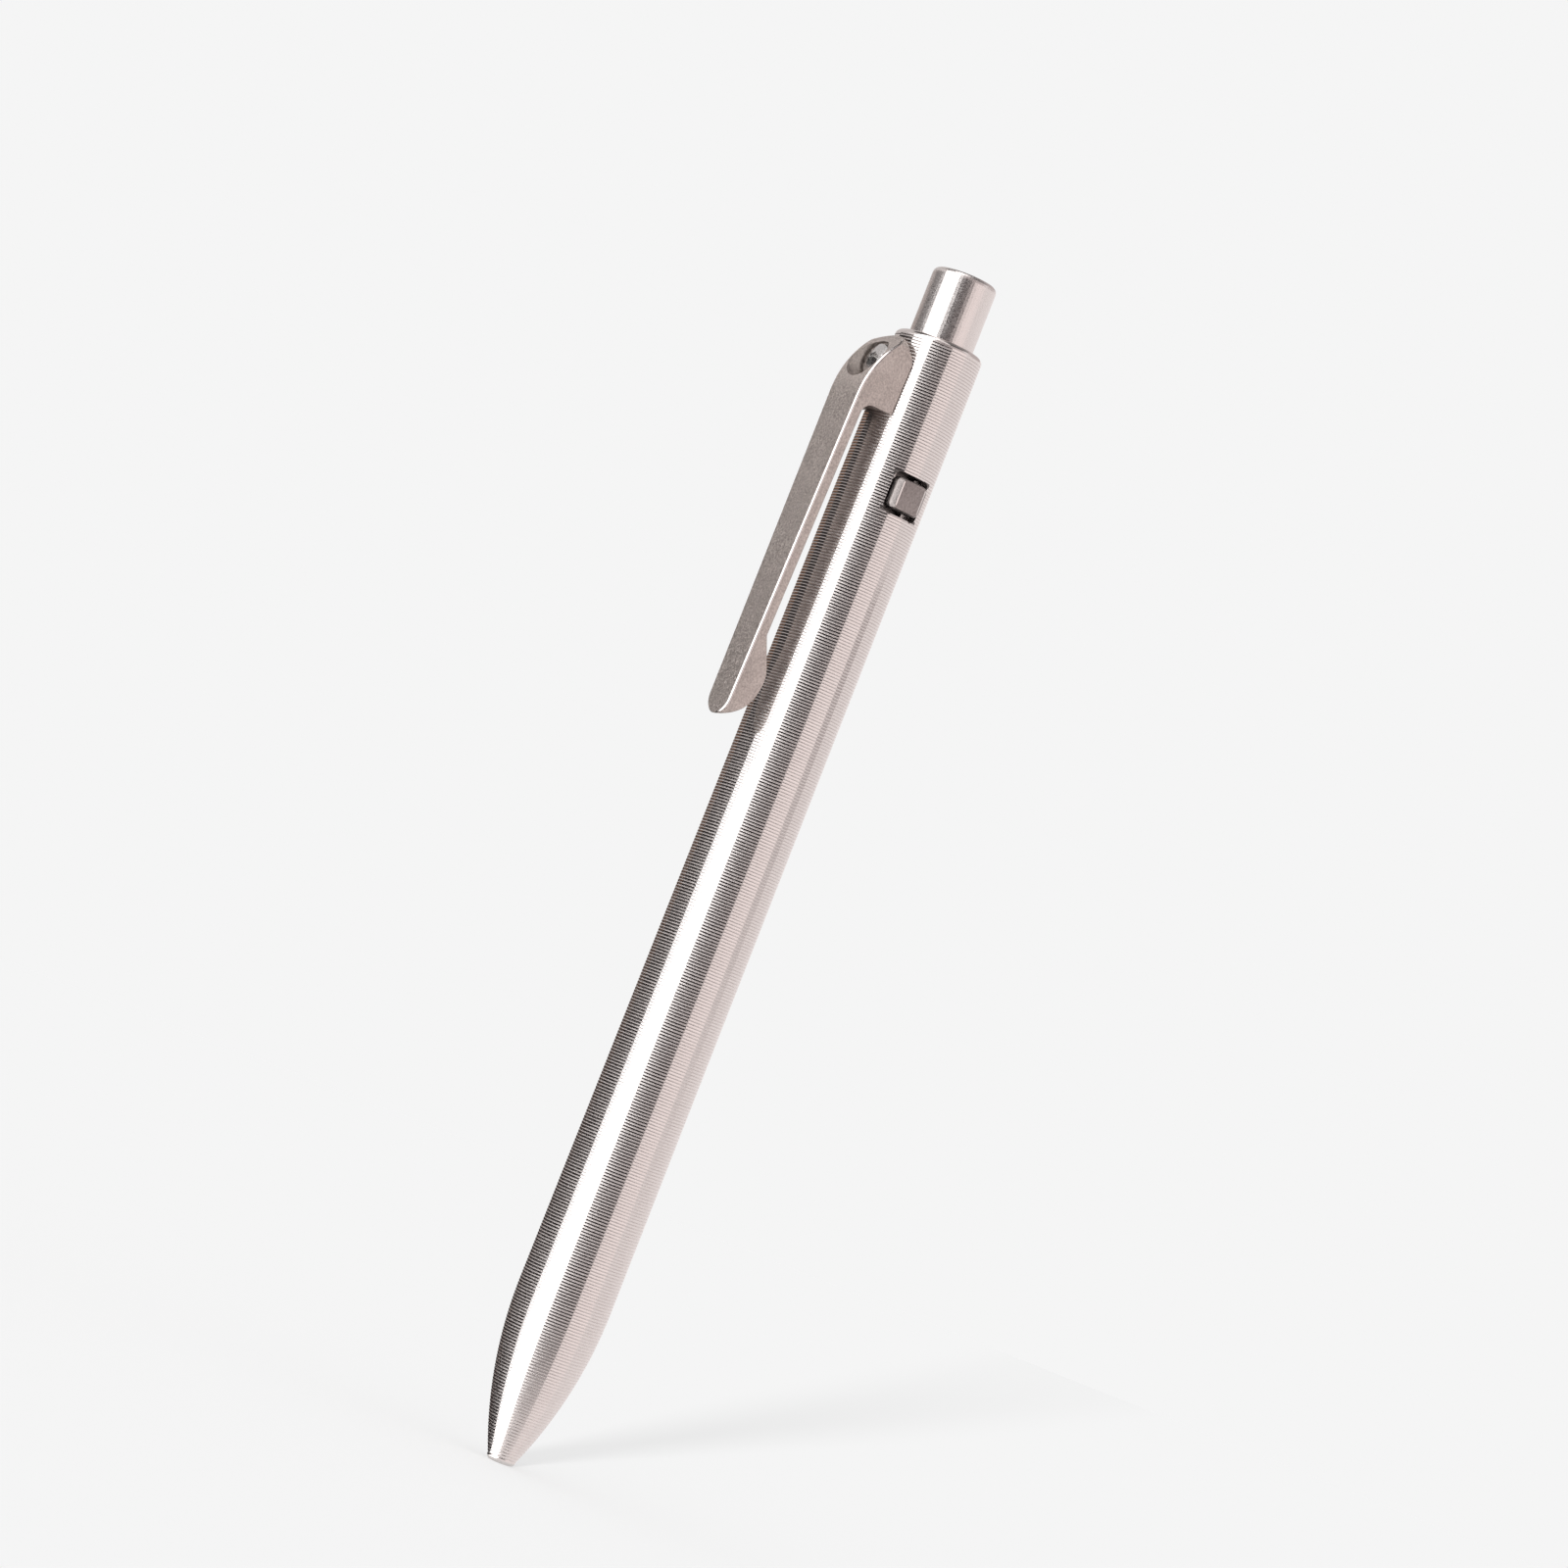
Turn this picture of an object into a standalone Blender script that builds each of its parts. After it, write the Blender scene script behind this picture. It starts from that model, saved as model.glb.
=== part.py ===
"""Side click pen: a turned metal body in two halves, a pocket clip held by one screw, a push
plunger at the rear end, a side button that locks and frees it, and a gel refill with its spring.

The pen stands on its writing tip with its axis along +Z. The clip points midway between +X and
+Y, and the side button midway between -X and +Y. The origin is on the ground, in the middle of the
pen's own box. The pieces are built round the pen's own axis, with the clip towards -X and the
button towards -Y, and the parent that carries them all is turned and moved to that place.
"""

import math

import bmesh
import bpy
from mathutils import Vector

# Body of the pen, in metres
PLUNGER_STICK_OUT = 0.00825
GRIP_RADIUS = 0.00556
REAR_RADIUS = 0.00527
NOSE_CURVE_HEIGHT = 0.0200
NOSE_END_RADIUS = 0.00145
NOSE_END_ROUND = 0.00035
SEAM_HEIGHT = 0.0450
RIM_ROUND = 0.0007
BODY_BORE_RADIUS = 0.00435
JOINT_LENGTH = 0.0080
JOINT_CHAMFER = 0.0003

# Plunger
PLUNGER_RADIUS = 0.00385
PLUNGER_FOOT_RADIUS = 0.00420
PLUNGER_TOP_ROUND = 0.0007
PLUNGER_FOOT_CHAMFER = 0.0003
PLUNGER_GUIDE_LENGTH = 0.00825
PLUNGER_FLAT_DEPTH = 0.0009
PLUNGER_HEAD_WALL = 0.0009
CLICK_TRAVEL = 0.0055
PRESS_TRAVEL = 0.0060

# Side button and its slot
BUTTON_PROUD = 0.00062
BUTTON_TRAVEL = 0.0008
BUTTON_WIDTH = 0.0043
BUTTON_TALL = 0.00375
BUTTON_CORNER = 0.0007
BUTTON_SIDE_BEVEL = 0.00055
BUTTON_END_BEVEL = 0.00015
SLOT_WIDTH = 0.0049
SLOT_TALL = 0.00495
SLOT_CORNER = 0.0008
STEM_WIDTH = 0.0024
STEM_CORNER = 0.0003
FLANGE_WIDTH = 0.0040
FLANGE_TALL = 0.0058
FLANGE_THICKNESS = 0.0008
FLANGE_ABOVE_FOOT = 0.00295
FLANGE_CORNER = 0.0005
LOCK_WALL = 0.0010
SPIGOT_RADIUS = 0.0006
SPIGOT_LENGTH = 0.0008
BUTTON_SPRING_RADIUS = 0.00095
BUTTON_SPRING_WIRE = 0.00015
BUTTON_SPRING_TURNS = 6
SPRING_DIMPLE_RADIUS = 0.0015
SPRING_DIMPLE_DEPTH = 0.0003

# Pocket clip
CLIP_BELOW_RIM = 0.0013
CLIP_BLOCK_HEIGHT = 0.0090
CLIP_WIDTH = 0.0062
CLIP_END_WIDTH = 0.0044
CLIP_REACH = 0.00994
CLIP_END_REACH = 0.01041
CLIP_ARM_THICKNESS = 0.0014
CLIP_ARC_RADIUS = 0.0111
CLIP_ARC_DROP = 0.00865
CLIP_ARCH_RADIUS = 0.0038
CLIP_INNER_ROUND = 0.0028
CLIP_FILLET = 0.0013
CLIP_BEVEL = 0.0001
BUMP_BELOW_TOP = 0.04265
BUMP_TOP_RADIUS = 0.0034
BUMP_END_RADIUS = 0.00576
BUMP_THICKNESS = 0.0035
BUMP_RAMP_DEGREES = 26.0

# Clip screw
SCREW_DROP = 0.00385
SCREW_SHANK_RADIUS = 0.0010
SCREW_HEAD_RADIUS = 0.0022
SCREW_HEAD_THICKNESS = 0.0013
SCREW_HEAD_EDGE = 0.0006
SCREW_SOCKET_RADIUS = 0.00105
SCREW_SOCKET_DEPTH = 0.0008
COUNTERBORE_RADIUS = 0.0026
COUNTERBORE_FLOOR = 0.0014

# Gel refill, measured back from the writing ball
REFILL_RETRACTION = 0.0025
REFILL_LENGTH = 0.1100
REFILL_RADIUS = 0.00305
REFILL_WALL = 0.0005
BALL_RADIUS = 0.00035
BALL_CLEARANCE = 0.00007
BALL_LIP = 0.00010
POINT_WALL = 0.00010
POINT_RADIUS = 0.00105
POINT_CONE_LENGTH = 0.0023
POINT_LENGTH = 0.0065
POINT_STEM_RADIUS = 0.00075
POINT_STEM_LENGTH = 0.0040
POINT_CHANNEL_RADIUS = 0.00022
HOLDER_RADIUS = 0.00165
HOLDER_NOSE_CHAMFER = 0.0003
HOLDER_LENGTH = 0.0065
HOLDER_FLANGE_LENGTH = 0.0015
HOLDER_SPIGOT_LENGTH = 0.0040
PLUG_FLANGE_LENGTH = 0.0010
PLUG_SPIGOT_LENGTH = 0.0040
PLUG_VENT_RADIUS = 0.0004
INK_LENGTH = 0.0580
FOLLOWER_LENGTH = 0.0060

# Bores of the nose
TIP_HOLE_LENGTH = 0.0026
HOLDER_BORE_CLEARANCE = 0.00025
SPRING_BORE_CLEARANCE = 0.00025
REFILL_BORE_CLEARANCE = 0.00025
NOSE_WALL = 0.00062
REFILL_SPRING_WIRE = 0.0002
REFILL_SPRING_CLEARANCE = 0.00025
REFILL_SPRING_TURNS = 7

# Fits between neighbours
SEAT_GAP = 0.0001
RUNNING_GAP = 0.00015
CUT_OVERRUN = 0.0010

# Fineness of the round shapes
BODY_STEPS = 64
INNER_STEPS = 32
NOSE_CURVE_STEPS = 14
ROUND_STEPS = 5
CORNER_STEPS = 4
ARC_STEPS = 10
CLIP_END_STEPS = 9
FILLET_STEPS = 4
SPRING_TURN_STEPS = 10
MERGE_DISTANCE = 1e-7
SMOOTH_ANGLE = math.radians(32.0)

# Heading of the finished pen
PEN_TURN = math.radians(-135.0)

# Places that follow from the sizes, from the refill's rear end upwards
REFILL_END = REFILL_RETRACTION + REFILL_LENGTH
PLUNGER_FOOT = REFILL_END + SEAT_GAP
BUTTON_HEIGHT = PLUNGER_FOOT + FLANGE_ABOVE_FOOT + FLANGE_TALL / 2
POCKET_TOP = BUTTON_HEIGHT + FLANGE_TALL / 2 + PRESS_TRAVEL + RUNNING_GAP
SHOULDER_HEIGHT = POCKET_TOP + PLUNGER_HEAD_WALL
BODY_STEP_HEIGHT = SHOULDER_HEIGHT + SEAT_GAP
RIM_HEIGHT = BODY_STEP_HEIGHT + PLUNGER_GUIDE_LENGTH
PEN_LENGTH = RIM_HEIGHT + PLUNGER_STICK_OUT
CLIP_TOP_HEIGHT = RIM_HEIGHT - CLIP_BELOW_RIM
BUMP_HEIGHT = CLIP_TOP_HEIGHT - BUMP_BELOW_TOP
BUTTON_REACH = REAR_RADIUS + BUTTON_PROUD
CLIP_END_LENGTH = math.sqrt((2 * BUMP_END_RADIUS - BUMP_THICKNESS) * BUMP_THICKNESS)
CLIP_TAPER_LENGTH = BUMP_BELOW_TOP + CLIP_END_LENGTH - CLIP_END_WIDTH / 2 + CUT_OVERRUN
CLIP_TANGENT_SHARE = (CLIP_ARC_DROP + CUT_OVERRUN) / CLIP_TAPER_LENGTH
CLIP_TANGENT_WIDTH = CLIP_WIDTH + (CLIP_END_WIDTH - CLIP_WIDTH) * CLIP_TANGENT_SHARE
CLIP_CORNER_REACH = (CLIP_REACH + CLIP_TANGENT_WIDTH / 2 - CLIP_BEVEL) * math.cos(math.radians(45.0))
PEN_OFFSET = -(CLIP_CORNER_REACH - GRIP_RADIUS) / 2
GUIDE_BORE_RADIUS = PLUNGER_RADIUS + RUNNING_GAP
HOLDER_FRONT = REFILL_RETRACTION + POINT_LENGTH
FLANGE_FRONT = HOLDER_FRONT + HOLDER_LENGTH
TUBE_FRONT = FLANGE_FRONT + HOLDER_FLANGE_LENGTH + SEAT_GAP
TUBE_END = REFILL_END - PLUG_FLANGE_LENGTH - SEAT_GAP
TUBE_BORE_RADIUS = REFILL_RADIUS - REFILL_WALL
INSERT_RADIUS = TUBE_BORE_RADIUS - SEAT_GAP
TIP_HOLE_RADIUS = POINT_RADIUS + RUNNING_GAP


def clear_scene():
    for leftover in list(bpy.data.objects):
        bpy.data.objects.remove(leftover)


def metal(name, colour, roughness, metallic=1.0):
    """A Principled material in one colour."""
    material = bpy.data.materials.new(name)
    material.use_nodes = True
    shader = material.node_tree.nodes["Principled BSDF"]
    shader.inputs["Base Color"].default_value = (*colour, 1.0)
    shader.inputs["Roughness"].default_value = roughness
    shader.inputs["Metallic"].default_value = metallic
    material.diffuse_color = (*colour, 1.0)
    return material


def curve_radius(length, drop):
    """Radius of the arc that leaves a straight line and falls by drop over length."""
    return (length**2 + drop**2) / (2 * drop)


def arc_drop(radius, length):
    """How far an arc has left its tangent after length along it."""
    return radius - math.sqrt(max(radius**2 - length**2, 0.0))


def body_radius(height):
    """Outer radius of the body: the curved nose, then a slight taper to the rim."""
    if height < NOSE_CURVE_HEIGHT:
        radius = curve_radius(NOSE_CURVE_HEIGHT, GRIP_RADIUS - NOSE_END_RADIUS)
        return GRIP_RADIUS - arc_drop(radius, NOSE_CURVE_HEIGHT - height)
    share = (height - NOSE_CURVE_HEIGHT) / (RIM_HEIGHT - NOSE_CURVE_HEIGHT)
    return GRIP_RADIUS + (REAR_RADIUS - GRIP_RADIUS) * share


def nose_height(radius):
    """Height at which the curved nose has grown to this radius."""
    arc = curve_radius(NOSE_CURVE_HEIGHT, GRIP_RADIUS - NOSE_END_RADIUS)
    drop = GRIP_RADIUS - radius
    return NOSE_CURVE_HEIGHT - math.sqrt(max(2 * arc * drop - drop**2, 0.0))


def arc_points(centre, radius, start_degrees, end_degrees, steps):
    """Points along an arc in the plane of (radius, height) pairs."""
    points = []
    for step in range(steps + 1):
        angle = math.radians(start_degrees + (end_degrees - start_degrees) * step / steps)
        points.append((centre[0] + radius * math.cos(angle), centre[1] + radius * math.sin(angle)))
    return points


def finished(name, bm, material, location=(0.0, 0.0, 0.0)):
    """Turns a bmesh into a smooth shaded object that hangs on the pen's axis."""
    bmesh.ops.remove_doubles(bm, verts=bm.verts, dist=MERGE_DISTANCE)
    bmesh.ops.recalc_face_normals(bm, faces=bm.faces)
    mesh = bpy.data.meshes.new(name)
    bm.to_mesh(mesh)
    bm.free()
    mesh.shade_smooth()
    mesh.set_sharp_from_angle(angle=SMOOTH_ANGLE)
    if material:
        mesh.materials.append(material)
    made = bpy.data.objects.new(name, mesh)
    bpy.context.scene.collection.objects.link(made)
    made.parent = bpy.data.objects["pen_axis"]
    made.location = location
    return made


def turned(name, outline, material, steps=BODY_STEPS, location=(0.0, 0.0, 0.0)):
    """Spins an outline of (radius, height) points round Z. It is a ring unless its ends are on the axis."""
    bm = bmesh.new()
    points = [bm.verts.new((radius, 0.0, height)) for radius, height in outline]
    following = points[1:] if outline[0][0] == 0.0 else points[1:] + points[:1]
    edges = [bm.edges.new(pair) for pair in zip(points, following)]
    bmesh.ops.spin(
        bm,
        geom=points + edges,
        cent=(0.0, 0.0, 0.0),
        axis=(0.0, 0.0, 1.0),
        angle=2 * math.pi,
        steps=steps,
        use_merge=True,
    )
    return finished(name, bm, material, location)


def rounded_rectangle(half_x, half_z, corner):
    """Points round a rectangle with round corners, as (x, z) pairs."""
    corner = min(corner, half_x, half_z)
    points = []
    for quarter, (side_x, side_z) in enumerate(((1, 1), (-1, 1), (-1, -1), (1, -1))):
        centre = (side_x * (half_x - corner), side_z * (half_z - corner))
        points += arc_points(centre, corner, 90 * quarter, 90 * quarter + 90, CORNER_STEPS)
    return points


def stacked(name, sections, material, location=(0.0, 0.0, 0.0)):
    """Joins rounded rectangles, given as (y, half width, half height, corner), into one solid along Y."""
    bm = bmesh.new()
    rings = []
    for depth, half_x, half_z, corner in sections:
        outline = rounded_rectangle(half_x, half_z, corner)
        rings.append([bm.verts.new((x, depth, z)) for x, z in outline])
    for ring, following in zip(rings, rings[1:]):
        for index in range(len(ring)):
            after = (index + 1) % len(ring)
            bm.faces.new((ring[index], ring[after], following[after], following[index]))
    bm.faces.new(rings[0])
    bm.faces.new(rings[-1])
    return finished(name, bm, material, location)


def extruded(name, outline, half_depth, material, across):
    """Extrudes an outline by half_depth both ways. across places a point of it at a depth."""
    bm = bmesh.new()
    front = [bm.verts.new(across(a, b, -half_depth)) for a, b in outline]
    face = bm.faces.new(front)
    grown = bmesh.ops.extrude_face_region(bm, geom=[face])["geom"]
    moved = [item for item in grown if isinstance(item, bmesh.types.BMVert)]
    shift = Vector(across(0.0, 0.0, half_depth)) - Vector(across(0.0, 0.0, -half_depth))
    bmesh.ops.translate(bm, verts=moved, vec=shift)
    return finished(name, bm, material)


def combine(target, tool, operation="DIFFERENCE"):
    """Cuts target with tool, or keeps only what they share, and hides the tool."""
    modifier = target.modifiers.new(tool.name, "BOOLEAN")
    modifier.operation = operation
    modifier.object = tool
    modifier.solver = "EXACT"
    tool.hide_render = True
    tool.display_type = "WIRE"


def spring_path(start, end, radius, turns):
    """Points of a helix of even pitch from start to end along Z."""
    count = turns * SPRING_TURN_STEPS
    points = []
    for step in range(count + 1):
        angle = 2 * math.pi * step / SPRING_TURN_STEPS
        height = start + (end - start) * step / count
        points.append((radius * math.cos(angle), radius * math.sin(angle), height))
    return points


def coil_spring(name, points, wire, material, location=(0.0, 0.0, 0.0)):
    """A round wire along the helix points, as one tube with closed ends."""
    curve = bpy.data.curves.new(name, "CURVE")
    curve.dimensions = "3D"
    curve.bevel_depth = wire
    curve.bevel_resolution = 1
    curve.use_fill_caps = True
    curve.materials.append(material)
    spline = curve.splines.new("POLY")
    spline.points.add(len(points) - 1)
    for point, place in zip(spline.points, points):
        point.co = (*place, 1.0)
    made = bpy.data.objects.new(name, curve)
    bpy.context.scene.collection.objects.link(made)
    made.parent = bpy.data.objects["pen_axis"]
    made.location = location
    return made


def print_coil_gap(name, points, wire):
    """Prints the least distance between the wire's surface and itself, half a turn or more away."""
    apart = SPRING_TURN_STEPS // 2 + 1
    least = min(
        math.dist(points[first], points[second])
        for first in range(len(points))
        for second in range(first + apart, len(points))
    )
    print(f"{name}: least gap of the wire to itself {(least - 2 * wire) * 1000:.2f} mm")


def build_nose_section(material):
    """Front half of the body: curved nose, stepped bore for point, spring and refill, joint spigot."""
    spring_bore = HOLDER_RADIUS + REFILL_SPRING_CLEARANCE + 2 * REFILL_SPRING_WIRE + SPRING_BORE_CLEARANCE
    refill_bore = REFILL_RADIUS + REFILL_BORE_CLEARANCE
    spring_seat = nose_height(spring_bore + NOSE_WALL)
    refill_step = nose_height(refill_bore + NOSE_WALL)
    holder_bore = HOLDER_RADIUS + HOLDER_BORE_CLEARANCE
    spigot = BODY_BORE_RADIUS - SEAT_GAP
    spigot_end = SEAM_HEIGHT + JOINT_LENGTH
    shoulder = body_radius(SEAM_HEIGHT)
    outline = [(TIP_HOLE_RADIUS, 0.0)]
    end_round = min(NOSE_END_ROUND, (body_radius(NOSE_END_ROUND) - TIP_HOLE_RADIUS) * 0.9)
    round_centre = (body_radius(end_round) - end_round, end_round)
    outline += arc_points(round_centre, end_round, -90, 0, ROUND_STEPS)
    for step in range(1, NOSE_CURVE_STEPS + 1):
        share = step / NOSE_CURVE_STEPS
        height = end_round + (NOSE_CURVE_HEIGHT - end_round) * share
        outline.append((body_radius(height), height))
    outline += [
        (shoulder, SEAM_HEIGHT),
        (spigot, SEAM_HEIGHT),
        (spigot, spigot_end - JOINT_CHAMFER),
        (spigot - JOINT_CHAMFER, spigot_end),
        (refill_bore, spigot_end),
        (refill_bore, refill_step),
        (spring_bore, refill_step),
        (spring_bore, spring_seat),
        (holder_bore, spring_seat),
        (holder_bore, TIP_HOLE_LENGTH),
        (TIP_HOLE_RADIUS, TIP_HOLE_LENGTH),
    ]
    turned("nose_section", outline, material)
    return spring_seat


def build_rear_barrel(material):
    """Rear half of the body: long bore, guide bore for the plunger, button slot and screw hole."""
    front = SEAM_HEIGHT + SEAT_GAP
    bore_step = BODY_BORE_RADIUS - GUIDE_BORE_RADIUS
    outline = [(BODY_BORE_RADIUS + JOINT_CHAMFER, front), (body_radius(front), front)]
    outline.append((body_radius(RIM_HEIGHT / 2), RIM_HEIGHT / 2))
    round_start = RIM_HEIGHT - RIM_ROUND
    round_centre = (body_radius(round_start) - RIM_ROUND, round_start)
    rim = arc_points(round_centre, RIM_ROUND, 0, 90, ROUND_STEPS)
    outline += [point for point in rim if point[0] > GUIDE_BORE_RADIUS]
    outline += [
        (GUIDE_BORE_RADIUS, RIM_HEIGHT),
        (GUIDE_BORE_RADIUS, BODY_STEP_HEIGHT + bore_step),
        (BODY_BORE_RADIUS, BODY_STEP_HEIGHT),
        (BODY_BORE_RADIUS, front + JOINT_CHAMFER),
    ]
    barrel = turned("rear_barrel", outline, material)
    outside = -(REAR_RADIUS + CUT_OVERRUN)
    inside = -(BODY_BORE_RADIUS - CUT_OVERRUN)
    slot = [(depth, SLOT_WIDTH / 2, SLOT_TALL / 2, SLOT_CORNER) for depth in (outside, inside)]
    combine(barrel, stacked("button_slot_cutter", slot, None, (0.0, 0.0, BUTTON_HEIGHT)))
    far = BODY_BORE_RADIUS + SPRING_DIMPLE_DEPTH
    dimple = [
        (depth, SPRING_DIMPLE_RADIUS, SPRING_DIMPLE_RADIUS, SPRING_DIMPLE_RADIUS)
        for depth in (BODY_BORE_RADIUS - CUT_OVERRUN, far)
    ]
    combine(barrel, stacked("spring_dimple_cutter", dimple, None, (0.0, 0.0, BUTTON_HEIGHT)))
    hole = screw_cylinder("barrel_screw_hole_cutter", SCREW_SHANK_RADIUS + SEAT_GAP)
    combine(barrel, hole)


def screw_cylinder(name, radius, start=0.0):
    """A cutter along the clip screw, from start to well outside the clip."""
    outline = [
        (0.0, start),
        (radius, start),
        (radius, CLIP_END_REACH + CUT_OVERRUN),
        (0.0, CLIP_END_REACH + CUT_OVERRUN),
    ]
    cutter = turned(name, outline, None, INNER_STEPS, (0.0, 0.0, screw_height()))
    cutter.rotation_euler = (0.0, -math.pi / 2, 0.0)
    return cutter


def screw_height():
    return CLIP_TOP_HEIGHT - SCREW_DROP


def build_plunger(material):
    """Push rod: a smooth round top, and a wider forked foot that runs inside the body."""
    rod_round = arc_points(
        (PLUNGER_RADIUS - PLUNGER_TOP_ROUND, PEN_LENGTH - PLUNGER_TOP_ROUND),
        PLUNGER_TOP_ROUND,
        0,
        90,
        FILLET_STEPS,
    )
    outline = [
        (0.0, PLUNGER_FOOT),
        (PLUNGER_FOOT_RADIUS - PLUNGER_FOOT_CHAMFER, PLUNGER_FOOT),
        (PLUNGER_FOOT_RADIUS, PLUNGER_FOOT + PLUNGER_FOOT_CHAMFER),
        (PLUNGER_FOOT_RADIUS, SHOULDER_HEIGHT - PLUNGER_FOOT_CHAMFER),
        (PLUNGER_RADIUS, SHOULDER_HEIGHT),
        *rod_round,
        (0.0, PEN_LENGTH),
    ]
    plunger = turned("plunger", outline, material)
    flat = -(PLUNGER_FOOT_RADIUS - PLUNGER_FLAT_DEPTH)
    lock_inside = flat + LOCK_WALL
    flange_inside = lock_inside + SEAT_GAP + FLANGE_THICKNESS + BUTTON_TRAVEL + RUNNING_GAP
    outside = -(PLUNGER_FOOT_RADIUS + CUT_OVERRUN)
    low = PLUNGER_FOOT - CUT_OVERRUN
    slot_top = BUTTON_HEIGHT + STEM_WIDTH / 2 + PRESS_TRAVEL + 2 * RUNNING_GAP
    window = BUTTON_HEIGHT + CLICK_TRAVEL
    half_window = FLANGE_TALL / 2 + RUNNING_GAP
    half_pocket = FLANGE_WIDTH / 2 + RUNNING_GAP
    half_slot = STEM_WIDTH / 2 + RUNNING_GAP
    cuts = {
        "plunger_flat_cutter": (outside, flat, PLUNGER_FOOT_RADIUS, low, SHOULDER_HEIGHT, 0.0),
        "stem_slot_cutter": (outside, -outside, half_slot, low, slot_top, STEM_CORNER),
        "flange_pocket_cutter": (lock_inside, flange_inside, half_pocket, low, POCKET_TOP, 0.0),
        "lock_window_cutter": (
            outside,
            (lock_inside + flange_inside) / 2,
            half_pocket,
            window - half_window,
            window + half_window,
            FLANGE_CORNER,
        ),
    }
    for name, (start, end, half_width, bottom, top, corner) in cuts.items():
        sections = [(depth, half_width, (top - bottom) / 2, corner) for depth in (start, end)]
        combine(plunger, stacked(name, sections, None, (0.0, 0.0, (top + bottom) / 2)))


def build_side_button(material):
    """Release button: bevelled head, stem through the plunger's slot, locking flange, spring spigot."""
    flange_out = -(PLUNGER_FOOT_RADIUS - PLUNGER_FLAT_DEPTH) + LOCK_WALL + SEAT_GAP
    head_in = -(PLUNGER_FOOT_RADIUS - PLUNGER_FLAT_DEPTH) - BUTTON_TRAVEL - RUNNING_GAP
    half_width = BUTTON_WIDTH / 2
    half_tall = BUTTON_TALL / 2
    face = (half_width - BUTTON_SIDE_BEVEL, half_tall - BUTTON_END_BEVEL, BUTTON_CORNER / 2)
    head = (half_width, half_tall, BUTTON_CORNER)
    stem = (STEM_WIDTH / 2, STEM_WIDTH / 2, STEM_CORNER)
    flange = (FLANGE_WIDTH / 2, FLANGE_TALL / 2, FLANGE_CORNER)
    spigot = (SPIGOT_RADIUS, SPIGOT_RADIUS, SPIGOT_RADIUS)
    sections = [
        (-BUTTON_REACH, *face),
        (-BUTTON_REACH + BUTTON_SIDE_BEVEL, *head),
        (head_in, *head),
        (head_in, *stem),
        (flange_out, *stem),
        (flange_out, *flange),
        (flange_out + FLANGE_THICKNESS, *flange),
        (flange_out + FLANGE_THICKNESS, *spigot),
        (flange_out + FLANGE_THICKNESS + SPIGOT_LENGTH, *spigot),
    ]
    stacked("side_button", sections, material, (0.0, 0.0, BUTTON_HEIGHT))
    return flange_out + FLANGE_THICKNESS


def build_button_spring(flange_inside, material):
    """Coil spring from the button's flange to the dimple in the far wall of the barrel."""
    start = flange_inside + BUTTON_SPRING_WIRE + SEAT_GAP
    end = BODY_BORE_RADIUS + SPRING_DIMPLE_DEPTH - BUTTON_SPRING_WIRE - SEAT_GAP
    points = spring_path(start, end, BUTTON_SPRING_RADIUS, BUTTON_SPRING_TURNS)
    print_coil_gap("button_spring", points, BUTTON_SPRING_WIRE)
    spring = coil_spring("button_spring", points, BUTTON_SPRING_WIRE, material, (0.0, 0.0, BUTTON_HEIGHT))
    spring.rotation_euler = (-math.pi / 2, 0.0, 0.0)


def clip_face(height):
    """Distance of the clip's outer face from the pen's axis: the arm spreads a little downwards."""
    top = CLIP_TOP_HEIGHT - CLIP_ARC_DROP
    share = (top - height) / (top - BUMP_HEIGHT)
    return CLIP_REACH + (CLIP_END_REACH - CLIP_REACH) * share


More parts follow.
